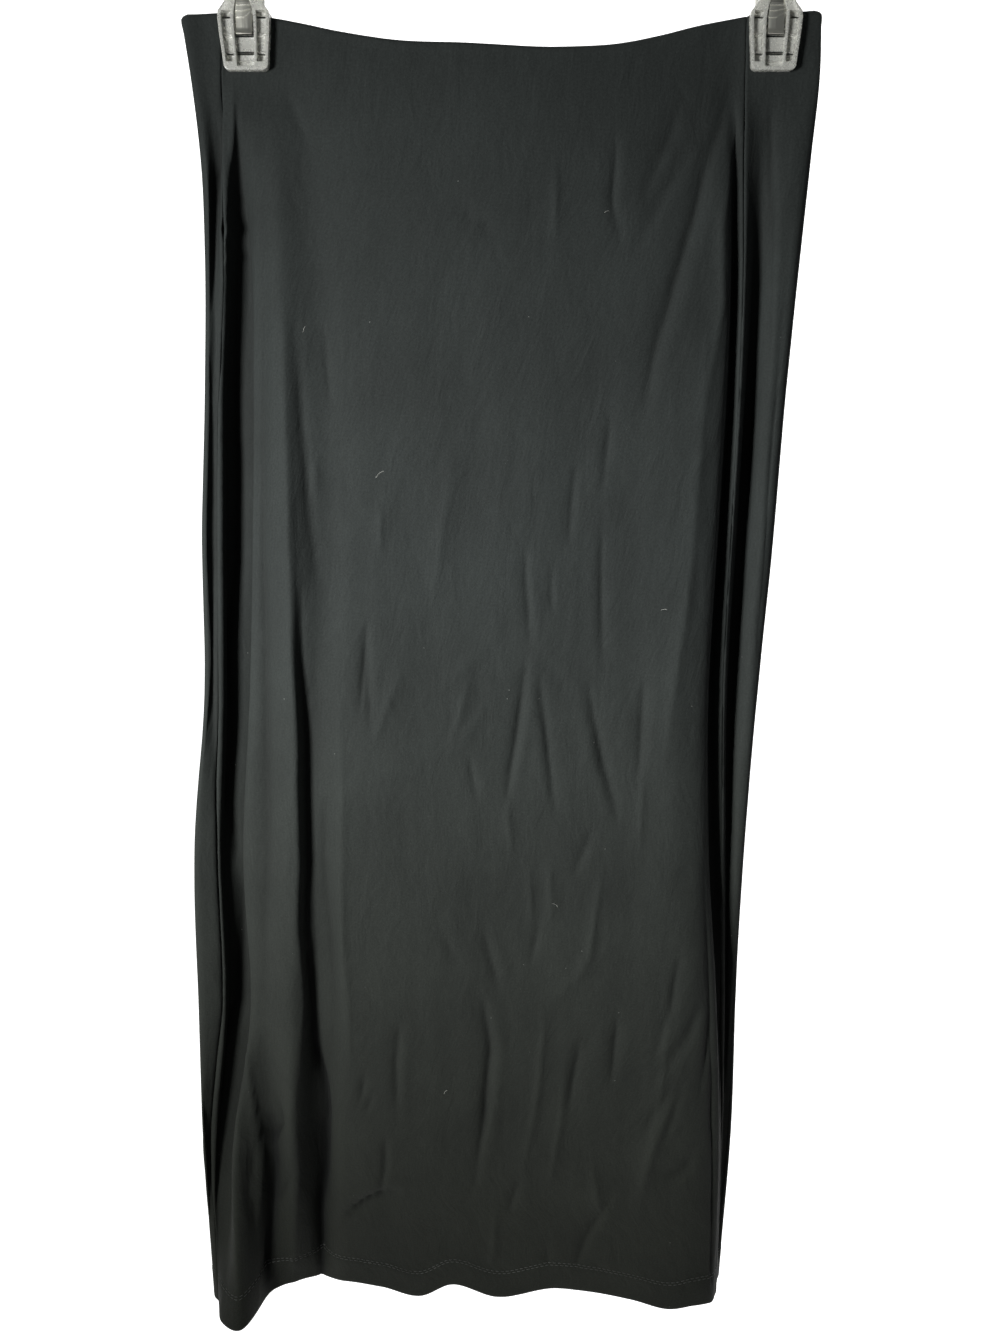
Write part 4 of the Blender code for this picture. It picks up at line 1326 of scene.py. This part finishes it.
@dataclass
class Hanger:
    """The clip hanger: moulded bar, wire hook and two clips."""

    spacing: float = 320.0
    bar_length: float = 366.0
    bar_top: float = -95.0
    bar_height: float = 13.0
    bar_depth: float = 5.0
    boss_diameter: float = 13.0
    boss_height: float = 12.0
    wire: float = 3.6
    hook_radius: float = 19.0
    shank_top: float = -52.0
    join_angle: float = -40.0
    end_angle: float = 208.0
    foot: float = -91.7

    def bar(self, look: bpy.types.Material) -> bpy.types.Object:
        """Model the bar with shallow panels on its faces and the boss that takes the hook."""
        shape = bmesh.new()
        bmesh.ops.create_cube(shape, size=1.0)
        size = Vector((self.bar_length, self.bar_depth, self.bar_height)) * MM
        bmesh.ops.scale(shape, vec=size, verts=shape.verts)
        middle = (self.bar_top - self.bar_height / 2) * MM
        bmesh.ops.translate(shape, verts=shape.verts, vec=(0.0, 0.0, middle))
        faces = [f for f in shape.faces if abs(f.normal.y) > 0.9]
        bmesh.ops.inset_individual(shape, faces=faces, thickness=2.4 * MM, depth=-1.1 * MM)
        sharp = [e for e in shape.edges if e.calc_face_angle(0.0) > math.radians(35)]
        bmesh.ops.bevel(
            shape, geom=sharp, offset=0.5 * MM, segments=3, profile=0.5, affect="EDGES", material=-1,
            clamp_overlap=True,
        )
        radius, low, high = self.boss_diameter / 2, self.bar_top - 1.0, self.bar_top + self.boss_height
        hole = self.wire / 2 + 0.3
        outline = (
            (hole, high - 9.0), (hole, high - 0.3), (hole + 0.3, high), (radius - 0.8, high),
            (radius, high - 0.8), (radius, low), (radius - 2.0, low),
        )
        previous = None
        edges = []
        for r, z in outline:
            point = shape.verts.new(Vector((r, 0.0, z)) * MM)
            if previous:
                edges.append(shape.edges.new((previous, point)))
            previous = point
        rim = list({v for e in edges for v in e.verts})
        bmesh.ops.spin(
            shape, geom=rim + edges, cent=(0, 0, 0), axis=(0, 0, 1), angle=math.tau, steps=32, use_merge=True,
        )
        bmesh.ops.recalc_face_normals(shape, faces=shape.faces)
        piece = add_object("moulded_bar", as_mesh("moulded_bar", shape, 35.0), look)
        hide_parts("hanger_bar")
        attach(piece, "root")
        return piece

    def hook(self, look: bpy.types.Material) -> bpy.types.Object:
        """Model the bent wire as a tube along its route, with capped ends."""
        radius = self.hook_radius + self.wire / 2
        start = Vector((0.0, 0.0, self.shank_top))
        angle = math.radians(self.join_angle)
        centre = Vector((0.0, 0.0, -self.hook_radius))
        join = centre + Vector((math.cos(angle), 0.0, math.sin(angle))) * radius
        reach = (join - start).length * 1.1
        leave, arrive = Vector((0, 0, reach)), Vector((-math.sin(angle), 0.0, math.cos(angle))) * reach
        route = [Vector((0.0, 0.0, self.foot)), Vector((0.0, 0.0, (self.foot + self.shank_top) / 2))]
        for k in range(16):
            route.append(Vector([hermite(start[i], join[i], leave[i], arrive[i], k / 16) for i in range(3)]))
        turns = 64
        for k in range(turns + 1):
            at = angle + math.radians(self.end_angle - self.join_angle) * k / turns
            route.append(centre + Vector((math.cos(at), 0.0, math.sin(at))) * radius)
        curve = bpy.data.curves.new("wire_hook", "CURVE")
        curve.dimensions = "3D"
        curve.bevel_depth = self.wire / 2 * MM
        curve.bevel_resolution = 6
        curve.use_fill_caps = True
        spline = curve.splines.new("POLY")
        spline.points.add(len(route) - 1)
        for point, spot in zip(spline.points, route):
            point.co = (*(spot * MM), 1.0)
        mesh = tube_mesh(curve)
        mesh.shade_smooth()
        mesh.set_sharp_from_angle(angle=math.radians(60))
        piece = add_object("wire_hook", mesh, look)
        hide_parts("hanger_hook")
        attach(piece, "root")
        return piece

    def build(self) -> None:
        """Build the hanger."""
        plastic = ClearPlasticFinish().build("clear_polystyrene")
        steel = SteelFinish().build("nickelled_spring_steel")
        chrome = SteelFinish(colour="#dcdcdc", roughness=0.14).build("chromed_steel_wire")
        self.bar(plastic)
        self.hook(chrome)
        for hand, centre in (("left", -self.spacing / 2), ("right", self.spacing / 2)):
            Clip(hand, centre).build(plastic, steel)


# The studio

@dataclass(frozen=True)
class SoftBox:
    """A rectangular studio light."""

    name: str
    place: tuple[float, float, float]
    aim: tuple[float, float, float]
    size: tuple[float, float]
    power: float
    colour: tuple[float, float, float] = (1.0, 1.0, 1.0)
    grid: float = 180.0  # how wide the light spreads past its honeycomb grid, in degrees

    def build(self) -> None:
        """Hang the light."""
        lamp = bpy.data.lights.new(self.name, "AREA")
        lamp.shape = "RECTANGLE"
        lamp.size, lamp.size_y = self.size
        lamp.energy = self.power
        lamp.color = self.colour
        lamp.spread = math.radians(self.grid)
        item = bpy.data.objects.new(self.name, lamp)
        item.location = self.place
        item.rotation_euler = (Vector(self.aim) - Vector(self.place)).to_track_quat("-Z", "Y").to_euler()
        bpy.context.scene.collection.objects.link(item)


@dataclass
class Studio:
    """White sweep, soft lights and the camera."""

    floor: float = -1.6
    reach: float = 1.65
    front: float = -0.3
    back: float = 1.75
    sweep_radius: float = 0.9
    top: float = 2.2
    camera_place: tuple[float, float, float] = (-0.006, -0.682, -0.3545)
    camera_pitch: float = 14.0
    lens: float = 27.0
    boxes: tuple[SoftBox, ...] = (
        SoftBox(
            "key_left", (-0.82, -0.92, -0.44), (0.02, 0.0, -0.51), (0.3, 0.3), 4.1,
            colour=(0.98, 1.0, 0.99), grid=66.0,
        ),
        SoftBox("backdrop_wash", (0.0, 0.35, 0.9), (0.0, 1.65, -0.6), (2.0, 0.5), 24.0),
    )

    def sweep(self) -> bpy.types.Object:
        """Make the floor that curves up into the backdrop."""
        turn = 12
        profile = [(self.front, self.floor)]
        for k in range(turn + 1):
            angle = math.pi / 2 * k / turn
            profile.append((
                self.back - self.sweep_radius + math.sin(angle) * self.sweep_radius,
                self.floor + self.sweep_radius - math.cos(angle) * self.sweep_radius,
            ))
        profile.append((self.back, self.top))
        mesh = as_mesh("white_sweep", strip_across(profile, -self.reach, 2 * self.reach), 60.0)
        piece = add_object("white_sweep", mesh, BackdropFinish().build("background_paper"))
        return piece

    def camera(self) -> None:
        """Set the camera at the photograph's viewing angle."""
        data = bpy.data.cameras.new("camera")
        data.sensor_fit = "VERTICAL"
        data.sensor_height = 36.0
        data.lens = self.lens
        data.clip_start = 0.01
        item = bpy.data.objects.new("camera", data)
        item.location = self.camera_place
        item.rotation_euler = Euler((math.radians(90.0 - self.camera_pitch), 0.0, 0.0))
        bpy.context.scene.collection.objects.link(item)
        bpy.context.scene.camera = item

    def build(self) -> None:
        """Build the studio."""
        self.sweep()
        for box in self.boxes:
            box.build()
        world = bpy.data.worlds.new("room")
        world.use_nodes = True
        room = world.node_tree.nodes["Background"]
        room.inputs["Color"].default_value = (0.93, 0.97, 1.0, 1.0)
        room.inputs["Strength"].default_value = 0.075
        bpy.context.scene.world = world
        bpy.context.scene.view_settings.view_transform = "Standard"
        self.camera()


def main() -> None:
    """Build the skirt, its hanger and the studio."""
    logging.basicConfig(level=logging.INFO, format="%(name)s: %(message)s")
    Studio().build()
    Skirt().build()
    Hanger().build()
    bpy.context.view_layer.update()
    LOG.info("sizes kept")


if __name__ == "__main__":
    main()
